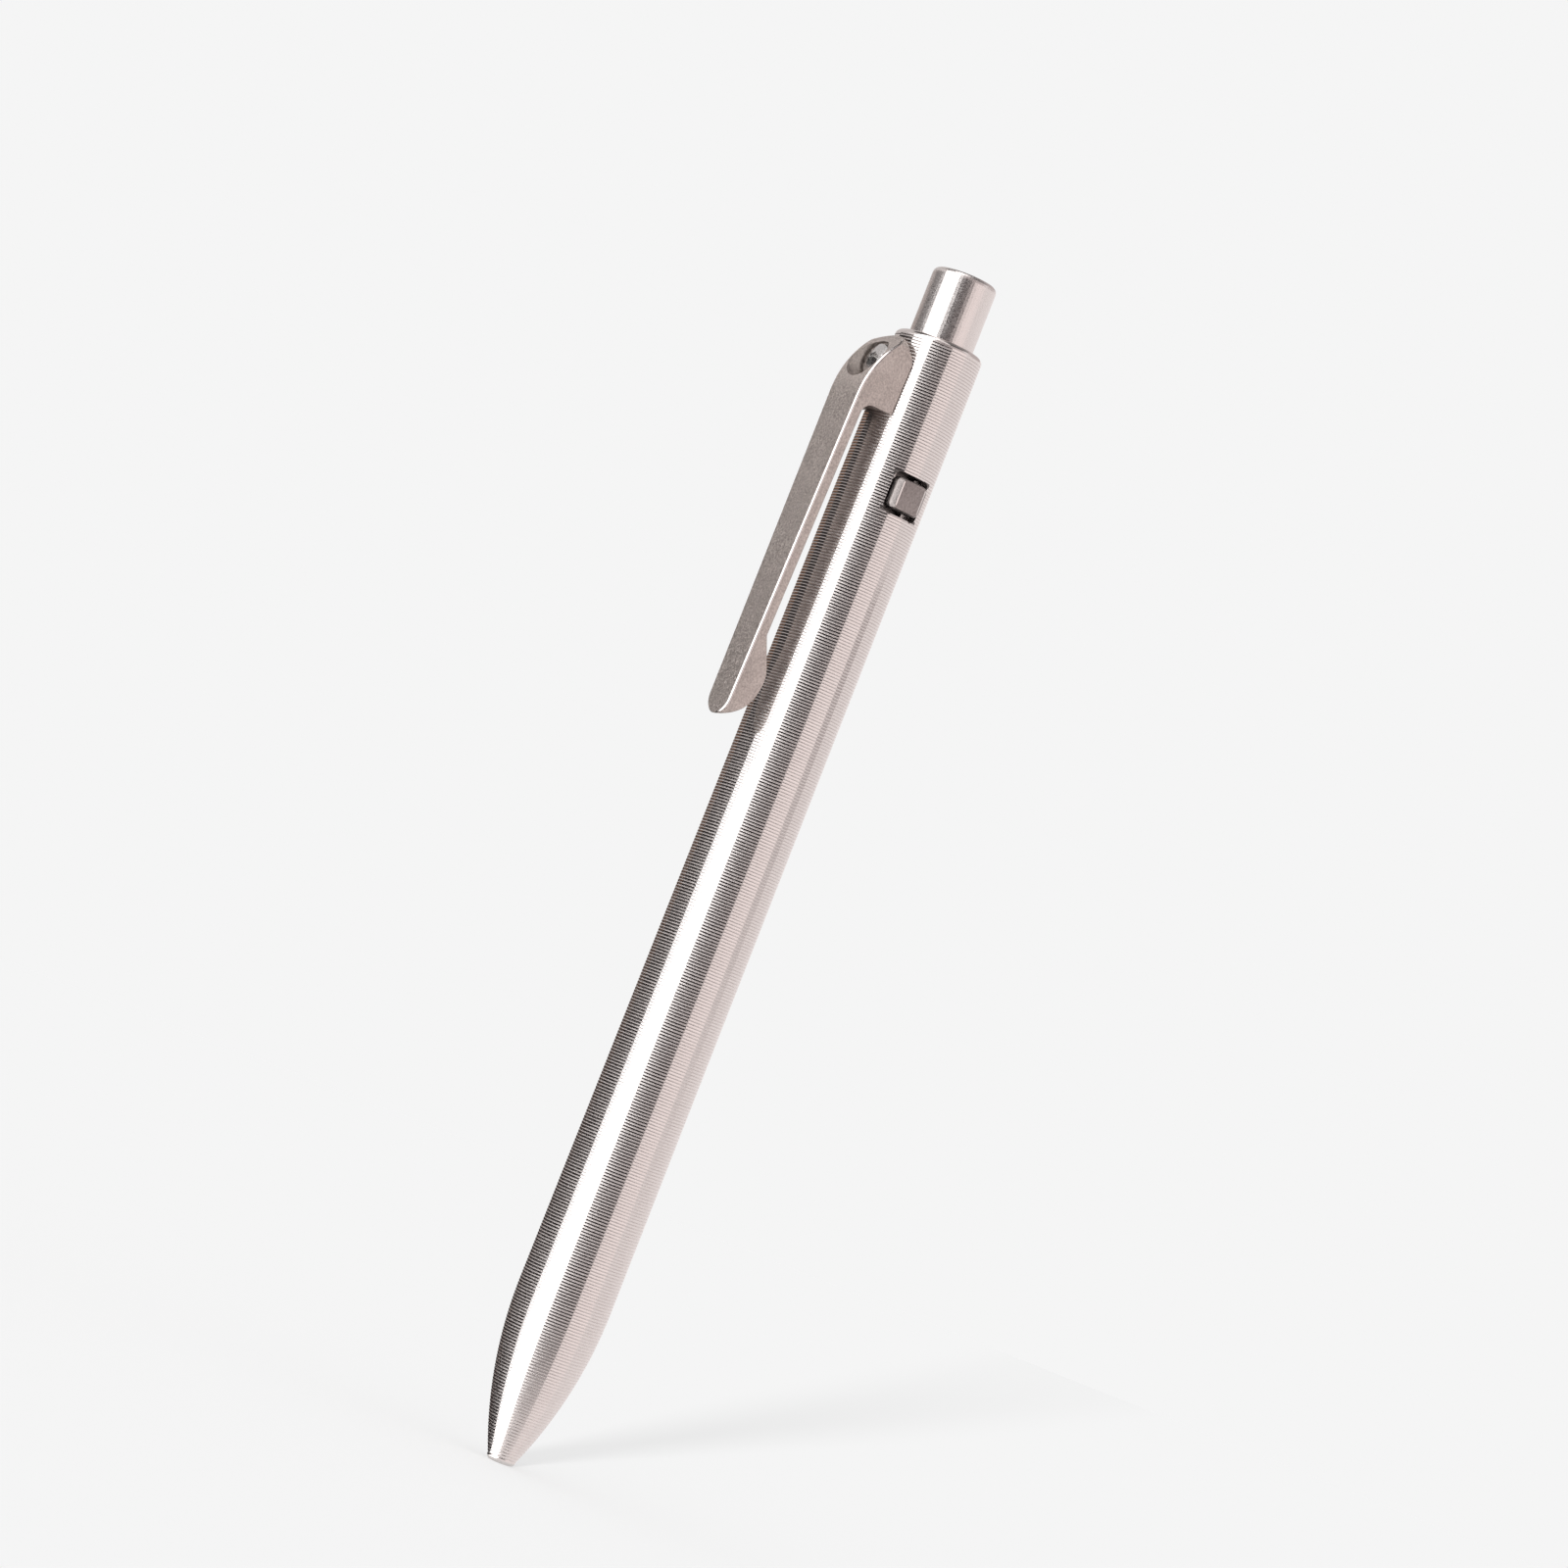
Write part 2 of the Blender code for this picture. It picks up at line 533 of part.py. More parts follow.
def clip_side_outline():
    """Side view of the clip as (distance from the axis, height): block, crest, arm and grip bump."""
    tangent = CLIP_TOP_HEIGHT - CLIP_ARC_DROP
    arc_centre = (clip_face(tangent) - CLIP_ARC_RADIUS, tangent)
    arc_top = math.degrees(math.asin(CLIP_ARC_DROP / CLIP_ARC_RADIUS))
    underside = CLIP_TOP_HEIGHT - CLIP_BLOCK_HEIGHT
    root = math.sqrt(body_radius(CLIP_TOP_HEIGHT) ** 2 - (CLIP_WIDTH / 2) ** 2)
    inner_top = clip_face(underside) - CLIP_ARM_THICKNESS
    bump_peak = clip_face(BUMP_HEIGHT) - BUMP_THICKNESS
    bump_top = (bump_peak + BUMP_TOP_RADIUS, BUMP_HEIGHT)
    bump_end = (bump_peak + BUMP_END_RADIUS, BUMP_HEIGHT)
    ramp_angle = math.radians(BUMP_RAMP_DEGREES)
    ramp_reach = bump_top[0] - BUMP_TOP_RADIUS * math.cos(ramp_angle)
    ramp_low = BUMP_HEIGHT + BUMP_TOP_RADIUS * math.sin(ramp_angle)
    ramp_rise = clip_face(BUMP_HEIGHT) - CLIP_ARM_THICKNESS - ramp_reach
    ramp_top = ramp_low + ramp_rise / math.tan(ramp_angle)
    end_drop = BUMP_END_RADIUS - BUMP_THICKNESS
    end_degrees = math.degrees(math.acos(end_drop / BUMP_END_RADIUS))
    crest = arc_centre[0] + math.sqrt(CLIP_ARC_RADIUS**2 - CLIP_ARC_DROP**2)
    round_centre = (root + CLIP_INNER_ROUND, CLIP_TOP_HEIGHT - CLIP_INNER_ROUND)
    crest_degrees = math.degrees(math.acos((round_centre[0] - crest) / CLIP_INNER_ROUND))
    outline = [(root, underside)]
    outline += arc_points(round_centre, CLIP_INNER_ROUND, 180, 180 - crest_degrees, FILLET_STEPS)[:-1]
    outline += arc_points(arc_centre, CLIP_ARC_RADIUS, arc_top, 0, ARC_STEPS)
    outline += arc_points(bump_end, BUMP_END_RADIUS, 180 + end_degrees, 180, CLIP_END_STEPS)
    outline += arc_points(bump_top, BUMP_TOP_RADIUS, 180, 180 - BUMP_RAMP_DEGREES, FILLET_STEPS)[1:]
    outline.append((clip_face(ramp_top) - CLIP_ARM_THICKNESS, ramp_top))
    fillet_centre = (inner_top - CLIP_FILLET, underside - CLIP_FILLET)
    outline += arc_points(fillet_centre, CLIP_FILLET, 0, 90, FILLET_STEPS)
    return outline


def clip_front_outline(low):
    """Front view of the clip as (y, height): a slow taper down to a half round end."""
    top = CLIP_TOP_HEIGHT + CUT_OVERRUN
    end_half = CLIP_END_WIDTH / 2
    half_top = CLIP_WIDTH / 2
    outline = [(-half_top, top), (half_top, top)]
    outline += arc_points((0.0, low + end_half), end_half, 0, -180, ARC_STEPS)
    return outline


def clip_arch_outline(low):
    """Front view of the space under the clip's arched top, wider than the clip and open below it."""
    half = (CLIP_WIDTH + CUT_OVERRUN) / 2
    degrees = math.degrees(math.asin(half / CLIP_ARCH_RADIUS))
    arch_centre = (0.0, CLIP_TOP_HEIGHT - CLIP_ARCH_RADIUS)
    outline = [(half, low - CUT_OVERRUN), (-half, low - CUT_OVERRUN)]
    outline += arc_points(arch_centre, CLIP_ARCH_RADIUS, 90 + degrees, 90 - degrees, ARC_STEPS)
    return outline


def front_cutter(name, outline):
    """Extrudes a front view from inside the body to well outside the clip."""
    return extruded(
        name,
        outline,
        CLIP_END_REACH / 2 + CUT_OVERRUN,
        None,
        lambda side_way, height, depth: (depth - CLIP_END_REACH / 2 - CUT_OVERRUN, side_way, height),
    )


def build_clip(material):
    """Pocket clip machined from one bar: side and front views cut out, bevelled, arched and bored."""
    side = clip_side_outline()
    clip = extruded(
        "clip",
        side,
        CLIP_WIDTH / 2 + CUT_OVERRUN,
        material,
        lambda reach, height, depth: (-reach, depth, height),
    )
    low = min(height for _, height in side)
    combine(clip, front_cutter("clip_front_cutter", clip_front_outline(low)), "INTERSECT")
    bevel = clip.modifiers.new("edge_bevel", "BEVEL")
    bevel.width = CLIP_BEVEL
    bevel.segments = 1
    bevel.limit_method = "ANGLE"
    bevel.angle_limit = math.radians(38.0)
    bevel.use_clamp_overlap = True
    combine(clip, front_cutter("clip_arch_cutter", clip_arch_outline(low)), "INTERSECT")
    bottom = CLIP_TOP_HEIGHT - CLIP_BLOCK_HEIGHT - CUT_OVERRUN
    top = CLIP_TOP_HEIGHT + CUT_OVERRUN
    saddle = [
        (0.0, bottom),
        (body_radius(bottom) + SEAT_GAP, bottom),
        (body_radius(top) + SEAT_GAP, top),
        (0.0, top),
    ]
    combine(clip, turned("clip_saddle_cutter", saddle, None))
    combine(clip, screw_cylinder("clip_screw_hole_cutter", SCREW_SHANK_RADIUS + SEAT_GAP))
    counterbore = screw_cylinder("counterbore_cutter", COUNTERBORE_RADIUS, REAR_RADIUS + COUNTERBORE_FLOOR)
    combine(clip, counterbore)


def build_clip_screw(material):
    """Button head screw with a hexagon socket, driven through the clip block into the barrel wall."""
    seat = REAR_RADIUS + COUNTERBORE_FLOOR + SEAT_GAP
    top = seat + SCREW_HEAD_THICKNESS
    dome_half = SCREW_HEAD_RADIUS
    dome_rise = SCREW_HEAD_THICKNESS - SCREW_HEAD_EDGE
    dome = curve_radius(dome_half, dome_rise)
    dome_degrees = math.degrees(math.asin(dome_half / dome))
    outline = [
        (0.0, GUIDE_BORE_RADIUS + RUNNING_GAP),
        (SCREW_SHANK_RADIUS, GUIDE_BORE_RADIUS + RUNNING_GAP),
        (SCREW_SHANK_RADIUS, seat),
        (SCREW_HEAD_RADIUS, seat),
        *arc_points((0.0, top - dome), dome, 90 - dome_degrees, 90, ROUND_STEPS),
    ]
    outline[-1] = (0.0, top)
    screw = turned("clip_screw", outline, material, INNER_STEPS, (0.0, 0.0, screw_height()))
    screw.rotation_euler = (0.0, -math.pi / 2, 0.0)
    socket = [
        (0.0, top - SCREW_SOCKET_DEPTH),
        (SCREW_SOCKET_RADIUS, top - SCREW_SOCKET_DEPTH),
        (SCREW_SOCKET_RADIUS, top + CUT_OVERRUN),
        (0.0, top + CUT_OVERRUN),
    ]
    cutter = turned("screw_socket_cutter", socket, None, 6, (0.0, 0.0, screw_height()))
    cutter.rotation_euler = (0.0, -math.pi / 2, 0.0)
    combine(screw, cutter)


def build_refill(plastic, point_metal, ball_metal, ink, grease):
    """Gel refill: writing ball, metal point, holder, tube with ink and grease, vented end plug."""
    tip = REFILL_RETRACTION
    socket = BALL_RADIUS + BALL_CLEARANCE
    lip = tip + BALL_LIP
    lip_radius = BALL_RADIUS - POINT_WALL / 8
    ball = arc_points((0.0, tip + BALL_RADIUS), BALL_RADIUS, -90, 90, ROUND_STEPS * 2)
    ball[0] = (0.0, tip)
    ball[-1] = (0.0, tip + 2 * BALL_RADIUS)
    turned("refill_ball", ball, ball_metal, INNER_STEPS)
    stem_end = HOLDER_FRONT + POINT_STEM_LENGTH
    seat_height = tip + 2 * BALL_RADIUS + BALL_CLEARANCE
    point = [
        (lip_radius, lip),
        (lip_radius + POINT_WALL, lip),
        (POINT_RADIUS, tip + POINT_CONE_LENGTH),
        (POINT_RADIUS, HOLDER_FRONT - SEAT_GAP),
        (POINT_STEM_RADIUS, HOLDER_FRONT - SEAT_GAP),
        (POINT_STEM_RADIUS, stem_end),
        (POINT_CHANNEL_RADIUS, stem_end),
        (POINT_CHANNEL_RADIUS, seat_height),
        (socket, seat_height),
        (socket, tip + BALL_RADIUS - BALL_LIP),
    ]
    turned("refill_tip_cone", point, point_metal, INNER_STEPS)
    holder_bore = POINT_STEM_RADIUS + SEAT_GAP
    flange_end = FLANGE_FRONT + HOLDER_FLANGE_LENGTH
    holder = [
        (holder_bore, HOLDER_FRONT),
        (HOLDER_RADIUS - HOLDER_NOSE_CHAMFER, HOLDER_FRONT),
        (HOLDER_RADIUS, HOLDER_FRONT + HOLDER_NOSE_CHAMFER),
        (HOLDER_RADIUS, FLANGE_FRONT),
        (REFILL_RADIUS, FLANGE_FRONT),
        (REFILL_RADIUS, flange_end),
        (INSERT_RADIUS, flange_end),
        (INSERT_RADIUS, flange_end + HOLDER_SPIGOT_LENGTH),
        (holder_bore, flange_end + HOLDER_SPIGOT_LENGTH),
    ]
    turned("refill_tip_holder", holder, plastic, INNER_STEPS)
    tube = [
        (TUBE_BORE_RADIUS, TUBE_FRONT),
        (REFILL_RADIUS, TUBE_FRONT),
        (REFILL_RADIUS, TUBE_END),
        (TUBE_BORE_RADIUS, TUBE_END),
    ]
    turned("refill_tube", tube, plastic, INNER_STEPS)
    ink_start = flange_end + HOLDER_SPIGOT_LENGTH + SEAT_GAP
    follower_start = ink_start + INK_LENGTH + SEAT_GAP
    fills = (
        ("ink_column", ink_start, ink_start + INK_LENGTH, ink),
        ("ink_follower", follower_start, follower_start + FOLLOWER_LENGTH, grease),
    )
    for name, low, high, material in fills:
        column = [(0.0, low), (INSERT_RADIUS, low), (INSERT_RADIUS, high), (0.0, high)]
        turned(name, column, material, INNER_STEPS)
    plug_seat = REFILL_END - PLUG_FLANGE_LENGTH
    plug = [
        (PLUG_VENT_RADIUS, plug_seat - PLUG_SPIGOT_LENGTH),
        (INSERT_RADIUS, plug_seat - PLUG_SPIGOT_LENGTH),
        (INSERT_RADIUS, plug_seat),
        (REFILL_RADIUS, plug_seat),
        (REFILL_RADIUS, REFILL_END),
        (PLUG_VENT_RADIUS, REFILL_END),
    ]
    turned("refill_end_plug", plug, plastic, INNER_STEPS)


def build_refill_spring(spring_seat, material):
    """Coil spring round the refill's holder, from the step in the nose to the holder's flange."""
    radius = HOLDER_RADIUS + REFILL_SPRING_CLEARANCE + REFILL_SPRING_WIRE
    start = spring_seat + REFILL_SPRING_WIRE + SEAT_GAP
    end = FLANGE_FRONT - REFILL_SPRING_WIRE - SEAT_GAP
    points = spring_path(start, end, radius, REFILL_SPRING_TURNS)
    print_coil_gap("refill_spring", points, REFILL_SPRING_WIRE)
    coil_spring("refill_spring", points, REFILL_SPRING_WIRE, material)


def build_pen():
    clear_scene()
    axis = bpy.data.objects.new("pen_axis", None)
    bpy.context.scene.collection.objects.link(axis)
    axis.location = (PEN_OFFSET, PEN_OFFSET, 0.0)
    axis.rotation_euler = (0.0, 0.0, PEN_TURN)
    titanium = metal("grooved_titanium", (0.55, 0.52, 0.50), 0.24)
    polished = metal("polished_titanium", (0.62, 0.59, 0.57), 0.18)
    blasted = metal("blasted_titanium", (0.32, 0.28, 0.26), 0.48)
    steel = metal("spring_steel", (0.60, 0.60, 0.62), 0.25)
    plastic = metal("refill_plastic", (0.80, 0.82, 0.84), 0.40, 0.0)
    silver = metal("nickel_silver", (0.66, 0.62, 0.54), 0.22)
    carbide = metal("carbide", (0.45, 0.45, 0.48), 0.15)
    ink = metal("gel_ink", (0.01, 0.01, 0.02), 0.30, 0.0)
    grease = metal("follower_grease", (0.85, 0.80, 0.62), 0.30, 0.0)
    spring_seat = build_nose_section(titanium)
    build_rear_barrel(titanium)
    build_plunger(polished)
    flange_inside = build_side_button(blasted)
    build_button_spring(flange_inside, steel)
    build_clip(blasted)
    build_clip_screw(steel)
    build_refill(plastic, silver, carbide, ink, grease)
    build_refill_spring(spring_seat, steel)


build_pen()
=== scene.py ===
"""Side click pen, standing on its tip: a grooved titanium body with a blasted clip and button."""

import math

import bmesh
import bpy
import numpy as np
from mathutils import Matrix, Vector


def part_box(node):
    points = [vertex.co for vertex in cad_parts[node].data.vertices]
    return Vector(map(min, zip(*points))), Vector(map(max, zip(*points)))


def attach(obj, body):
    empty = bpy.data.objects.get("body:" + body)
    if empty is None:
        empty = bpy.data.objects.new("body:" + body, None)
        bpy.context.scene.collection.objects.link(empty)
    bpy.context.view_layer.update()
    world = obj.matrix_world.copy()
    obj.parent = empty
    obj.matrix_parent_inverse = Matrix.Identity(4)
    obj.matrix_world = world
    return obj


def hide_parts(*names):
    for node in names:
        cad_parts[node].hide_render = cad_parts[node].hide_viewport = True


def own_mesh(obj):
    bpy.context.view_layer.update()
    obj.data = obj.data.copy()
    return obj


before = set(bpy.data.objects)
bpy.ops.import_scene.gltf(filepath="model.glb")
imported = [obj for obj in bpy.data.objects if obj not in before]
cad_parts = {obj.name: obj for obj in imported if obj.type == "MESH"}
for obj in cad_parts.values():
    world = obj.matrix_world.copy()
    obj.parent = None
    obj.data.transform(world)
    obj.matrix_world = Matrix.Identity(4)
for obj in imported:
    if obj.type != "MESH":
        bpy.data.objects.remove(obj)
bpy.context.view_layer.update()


# Camera
# The pen is photographed from the side of its button, a little below the middle of its height,
# through a long lens, with the camera rolled so that the plunger leans to the right.

MM = 0.001
NOSE_LOW, NOSE_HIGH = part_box("nose_section")
AXIS_X = (NOSE_LOW[0] + NOSE_HIGH[0]) / 2
AXIS_Y = (NOSE_LOW[1] + NOSE_HIGH[1]) / 2
CAMERA_AZIMUTH = math.radians(-169.0)
CAMERA_DISTANCE = 573 * MM
CAMERA_HEIGHT = 51 * MM
CAMERA_AIM_HEIGHT = 83.25 * MM
CAMERA_AIM_RIGHT = 1.8 * MM
CAMERA_ROLL = math.radians(21.5)
CAMERA_LENS = 115.6
CAMERA_SENSOR = 36.0
CAMERA_NEAREST = 0.01
CAMERA_FARTHEST = 100.0

camera_back = Vector((math.sin(CAMERA_AZIMUTH), -math.cos(CAMERA_AZIMUTH), 0.0))
camera_right = Vector((math.cos(CAMERA_AZIMUTH), math.sin(CAMERA_AZIMUTH), 0.0))


def aimed(place, target, roll):
    """World matrix of a camera at place that looks at target, its upright turned by roll."""
    toward = (target - place).normalized()
    right = toward.cross(Vector((0.0, 0.0, 1.0))).normalized()
    up = right.cross(toward)
    rolled_right = right * math.cos(roll) + up * math.sin(roll)
    rolled_up = up * math.cos(roll) - right * math.sin(roll)
    turned_matrix = Matrix((rolled_right, rolled_up, -toward)).transposed()
    return Matrix.Translation(place) @ turned_matrix.to_4x4()


camera_data = bpy.data.cameras.new("camera")
camera_data.lens = CAMERA_LENS
camera_data.sensor_width = CAMERA_SENSOR
camera_data.clip_start = CAMERA_NEAREST
camera_data.clip_end = CAMERA_FARTHEST
camera = bpy.data.objects.new("camera", camera_data)
bpy.context.scene.collection.objects.link(camera)
axis_foot = Vector((AXIS_X, AXIS_Y, 0.0))
camera_place = axis_foot + camera_back * CAMERA_DISTANCE + Vector((0.0, 0.0, CAMERA_HEIGHT))
camera_target = axis_foot + camera_right * CAMERA_AIM_RIGHT + Vector((0.0, 0.0, CAMERA_AIM_HEIGHT))
camera.matrix_world = aimed(camera_place, camera_target, CAMERA_ROLL)
bpy.context.scene.camera = camera
bpy.context.scene.view_settings.view_transform = "Standard"


# Studio
# A white room with a round white table, and cards round the pen for its metal to mirror: a bright
# box at the camera's left between dark flags, and pale pink walls at its right. Only reflections
# show the cards.

ROOM_WHITE = 0.913
CARD_DISTANCE = 0.80
CARD_LIFT = 0.3 * MM
HEADER_TOP = 1.05
ROOF_INSIDE = 0.05
# Distances from the pen's foot, and the near tone's share at each of them.
FLOOR_REACHES = (1.9 * MM, 15 * MM, 27 * MM, 45 * MM, 100 * MM, 250 * MM, CARD_DISTANCE)
FLOOR_SHARES = (1.0, 0.62, 0.42, 0.22, 0.07, 0.0, 0.0)
BROWN, BLACK, DARK = (0.28, 0.17, 0.115), (0.040, 0.036, 0.036), (0.036, 0.032, 0.034)
BOX, GREY, GAP = (2.8, 2.8, 2.8), (0.72, 0.68, 0.67), (0.40, 0.35, 0.345)
PINK, ROSE, PALE = (1.20, 1.08, 1.06), (0.64, 0.57, 0.565), (1.02, 0.96, 0.95)
SHADE, DUSK = (0.16, 0.15, 0.15), (0.34, 0.32, 0.32)
# Name, start and end in degrees from the camera towards its right, height of the wall, and the
# tones of the near floor, the far floor, the wall, the header and the roof.
CARDS = (
    ("left_wall", -180.0, -126.0, 0.25, (BLACK, BLACK, BROWN, GREY, SHADE)),
    ("left_flag", -126.0, -74.0, 0.30, (BLACK, BLACK, BLACK, GREY, SHADE)),
    ("bright_box", -74.0, -21.5, 0.60, (BOX, BOX, BOX, BOX, BOX)),
    ("camera_flag", -21.5, 33.0, 0.33, (PALE, DARK, DARK, GAP, PALE)),
    ("pink_wall", 33.0, 77.0, 0.40, (PALE, PINK, PINK, ROSE, SHADE)),
    ("wall_gap", 77.0, 97.0, 0.19, (PALE, PALE, GAP, PALE, SHADE)),
    ("right_wall", 97.0, 150.0, 0.40, (PALE, PALE, PALE, ROSE, DUSK)),
    ("back_wall", 150.0, 180.0, 0.40, (GAP, PALE, PALE, ROSE, SHADE)),
)
CARD_STEP_DEGREES = 4.0
TABLE_RADIUS = 1.0
TABLE_STEPS = 64
TABLE_ALBEDO = 0.4
KEY_STRENGTH = 19.0
KEY_TURN = math.radians(9.0)
KEY_RISE = math.radians(2.2)
KEY_SPREAD = math.radians(3.0)
KEY_LIGHT = KEY_STRENGTH * math.sin(KEY_RISE) / math.pi
TABLE_GLOW = ROOM_WHITE - TABLE_ALBEDO * (ROOM_WHITE + KEY_LIGHT)


def new_node(tree, kind, **values):
    """Adds a shader node and sets its properties."""
    node = tree.nodes.new(kind)
    for name, value in values.items():
        setattr(node, name, value)
    return node


def staged(name, points, faces, glow, albedo):
    """Studio gear that glows in its points' colours, is diffuse in grey, and clear from behind."""
    mesh = bpy.data.meshes.new(name)
    mesh.from_pydata(points.tolist(), [], faces)
    colours = np.ones((len(points), 4))
    colours[:, :3] = glow
    attribute = mesh.color_attributes.new("glow", "FLOAT_COLOR", "POINT")
    attribute.data.foreach_set("color", colours.ravel())
    gear = bpy.data.objects.new(name, mesh)
    bpy.context.scene.collection.objects.link(gear)
    material = bpy.data.materials.new(name)
    material.use_nodes = True
    tree = material.node_tree
    tree.nodes.clear()
    light = new_node(tree, "ShaderNodeEmission")
    tint = new_node(tree, "ShaderNodeVertexColor", layer_name="glow")
    tree.links.new(tint.outputs["Color"], light.inputs["Color"])
    matt = new_node(tree, "ShaderNodeBsdfDiffuse")
    matt.inputs["Color"].default_value = (albedo, albedo, albedo, 1.0)
    both = new_node(tree, "ShaderNodeAddShader")
    tree.links.new(light.outputs[0], both.inputs[0])
    tree.links.new(matt.outputs[0], both.inputs[1])
    facing = new_node(tree, "ShaderNodeNewGeometry")
    clear = new_node(tree, "ShaderNodeBsdfTransparent")
    sided = new_node(tree, "ShaderNodeMixShader")
    tree.links.new(facing.outputs["Backfacing"], sided.inputs[0])
    tree.links.new(both.outputs[0], sided.inputs[1])
    tree.links.new(clear.outputs[0], sided.inputs[2])
    out = new_node(tree, "ShaderNodeOutputMaterial")
    tree.links.new(sided.outputs[0], out.inputs["Surface"])
    mesh.materials.append(material)
    return gear


def only_mirrored(gear):
    """Lets nothing but reflections see a piece of studio gear."""
    gear.visible_camera = False
    gear.visible_diffuse = False
    gear.visible_shadow = False


def build_room():
    """World of one even white."""
    world = bpy.data.worlds.new("room")
    bpy.context.scene.world = world
    world.use_nodes = True
    background = world.node_tree.nodes["Background"]
    background.inputs["Color"].default_value = (ROOM_WHITE, ROOM_WHITE, ROOM_WHITE, 1.0)
    background.inputs["Strength"].default_value = 1.0


def grid_faces(rows, columns, closed_rows=False, closed_columns=False):
    """Quads between the neighbours in a grid of points, also from last to first where closed."""
    row = np.arange(rows if closed_rows else rows - 1)[:, None]
    column = np.arange(columns if closed_columns else columns - 1)
    after = (row + 1) % rows
    beside = (column + 1) % columns
    start, end = row * columns, after * columns
    return np.stack([start + column, start + beside, end + beside, end + column], 2).reshape(-1, 4)


def build_card(name, start_degrees, end_degrees, tall, tones):
    """Profile of (run, rise) points swept round the pen's foot in an arc.

    The profile runs out over the table, up the wall, up the header of another tone, and back as a
    roof. Where the wall meets the header, and the header the roof, two points share one place.
    """
    near, far, wall, header, roof = tones
    steps = max(round((end_degrees - start_degrees) / CARD_STEP_DEGREES), 2)
    near_share = np.array(FLOOR_SHARES)[:, None]
    floor = np.array(near) * near_share + np.array(far) * (1 - near_share)
    colours = [*floor, wall, header, header, roof, roof]
    runs = np.array([*FLOOR_REACHES, *np.full(4, CARD_DISTANCE), ROOF_INSIDE])
    rises = np.array([*np.full(len(floor), CARD_LIFT), tall, tall, *np.full(3, HEADER_TOP)])
    angles = np.radians(np.linspace(start_degrees, end_degrees, steps + 1))[:, None]
    ways = np.array(camera_back) * np.cos(angles) + np.array(camera_right) * np.sin(angles)
    points = np.array(axis_foot) + ways[:, None] * runs[:, None]
    points[:, :, 2] = rises
    quads = grid_faces(steps + 1, len(runs)).reshape(steps, -1, 4)
    quads = np.delete(quads, (len(floor), len(floor) + 2), 1)
    glow = np.tile(colours, (steps + 1, 1))
    faces = quads.reshape(-1, 4).tolist()
    only_mirrored(staged(name, points.reshape(-1, 3), faces, glow, 0.0))


def build_table():
    """Round table top, whose glow and matt white add up to the room's white."""
    angles = np.arange(TABLE_STEPS) * 2 * math.pi / TABLE_STEPS
    edge = np.stack([np.cos(angles), np.sin(angles), np.zeros(TABLE_STEPS)], 1) * TABLE_RADIUS
    top = [tuple(range(TABLE_STEPS))]
    staged("table", np.array(axis_foot) + edge, top, TABLE_GLOW, TABLE_ALBEDO)


def build_key():
    """Small far lamp beside the camera, whose only trace is the pen's thin shadow on the table."""
    lamp = bpy.data.lights.new("key", "SUN")
    lamp.energy = KEY_STRENGTH
    lamp.angle = KEY_SPREAD
    key = bpy.data.objects.new("key", lamp)
    bpy.context.scene.collection.objects.link(key)
    level = camera_back * math.cos(KEY_TURN) - camera_right * math.sin(KEY_TURN)
    source = level * math.cos(KEY_RISE) + Vector((0.0, 0.0, math.sin(KEY_RISE)))
    key.rotation_euler = source.to_track_quat("Z", "Y").to_euler()
    key.visible_glossy = False


build_room()
for card_values in CARDS:
    build_card(*card_values)
build_table()
build_key()


# Nose section
# The front half of the pen, a titanium tube with a curved nose and a stepped bore, turned with fine
# round grooves from its smooth lip on. The lands between them are bright, and the grooves' walls
# duller. Its spigot is screwed into the rear barrel.

PEN_TURN = math.radians(-135.0)
GRIP_RADIUS = (NOSE_HIGH[0] - NOSE_LOW[0]) / 2
REAR_RADIUS = 5.27 * MM
RIM_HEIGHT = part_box("rear_barrel")[1][2]
NOSE_CURVE_HEIGHT = 20.0 * MM
NOSE_END_RADIUS = 1.45 * MM
SEAM_HEIGHT = 45.0 * MM
SPIGOT_END = NOSE_HIGH[2]
BODY_BORE = 4.35 * MM
JOINT_CHAMFER = 0.3 * MM
SEAT_GAP = 0.1 * MM
TIP_HOLE = 1.20 * MM
TIP_HOLE_LENGTH = 2.6 * MM
TIP_LIP = 0.60 * MM
LIP_ROUND_SHARE = 0.9
HOLDER_BORE = 1.90 * MM
SPRING_BORE = 2.55 * MM
REFILL_BORE = 3.30 * MM
NOSE_WALL = 0.62 * MM
GROOVE_PITCH = 0.3556 * MM
GROOVE_DEPTH = 0.055 * MM
LAND_START, LAND_END = 0.26, 0.72
WALL_HIGHEST, WALL_DEEPEST = 0.2 * GROOVE_DEPTH, 1.2 * GROOVE_DEPTH
BODY_STEPS = 72
BODY_SHARP_DEGREES = 12.0
ROUND_STEPS = 8
TITANIUM_TONES = ((0.66, 0.62, 0.605), (0.72, 0.68, 0.665))
MARKS_DETAIL = 2.0
MARKS_NOISE_RANGE = (0.3, 0.7)


def in_place(points):
    """Turns points from the pen's own axes to where it stands.

    The pieces are laid out round the pen's axis, in metres, with the clip towards -X and the button
    towards -Y.
    """
    cosine, sine = math.cos(PEN_TURN), math.sin(PEN_TURN)
    turn = np.array([[cosine, -sine, 0.0], [sine, cosine, 0.0], [0.0, 0.0, 1.0]])
    return points @ turn.T + np.array([AXIS_X, AXIS_Y, 0.0])


def arc(centre, radius, start_degrees, end_degrees, steps):
    """Points along an arc, as pairs of coordinates: centre plus radius by cosine and sine."""
    angles = np.radians(np.linspace(start_degrees, end_degrees, steps + 1))
    return np.stack([centre[0] + radius * np.cos(angles), centre[1] + radius * np.sin(angles)], 1)


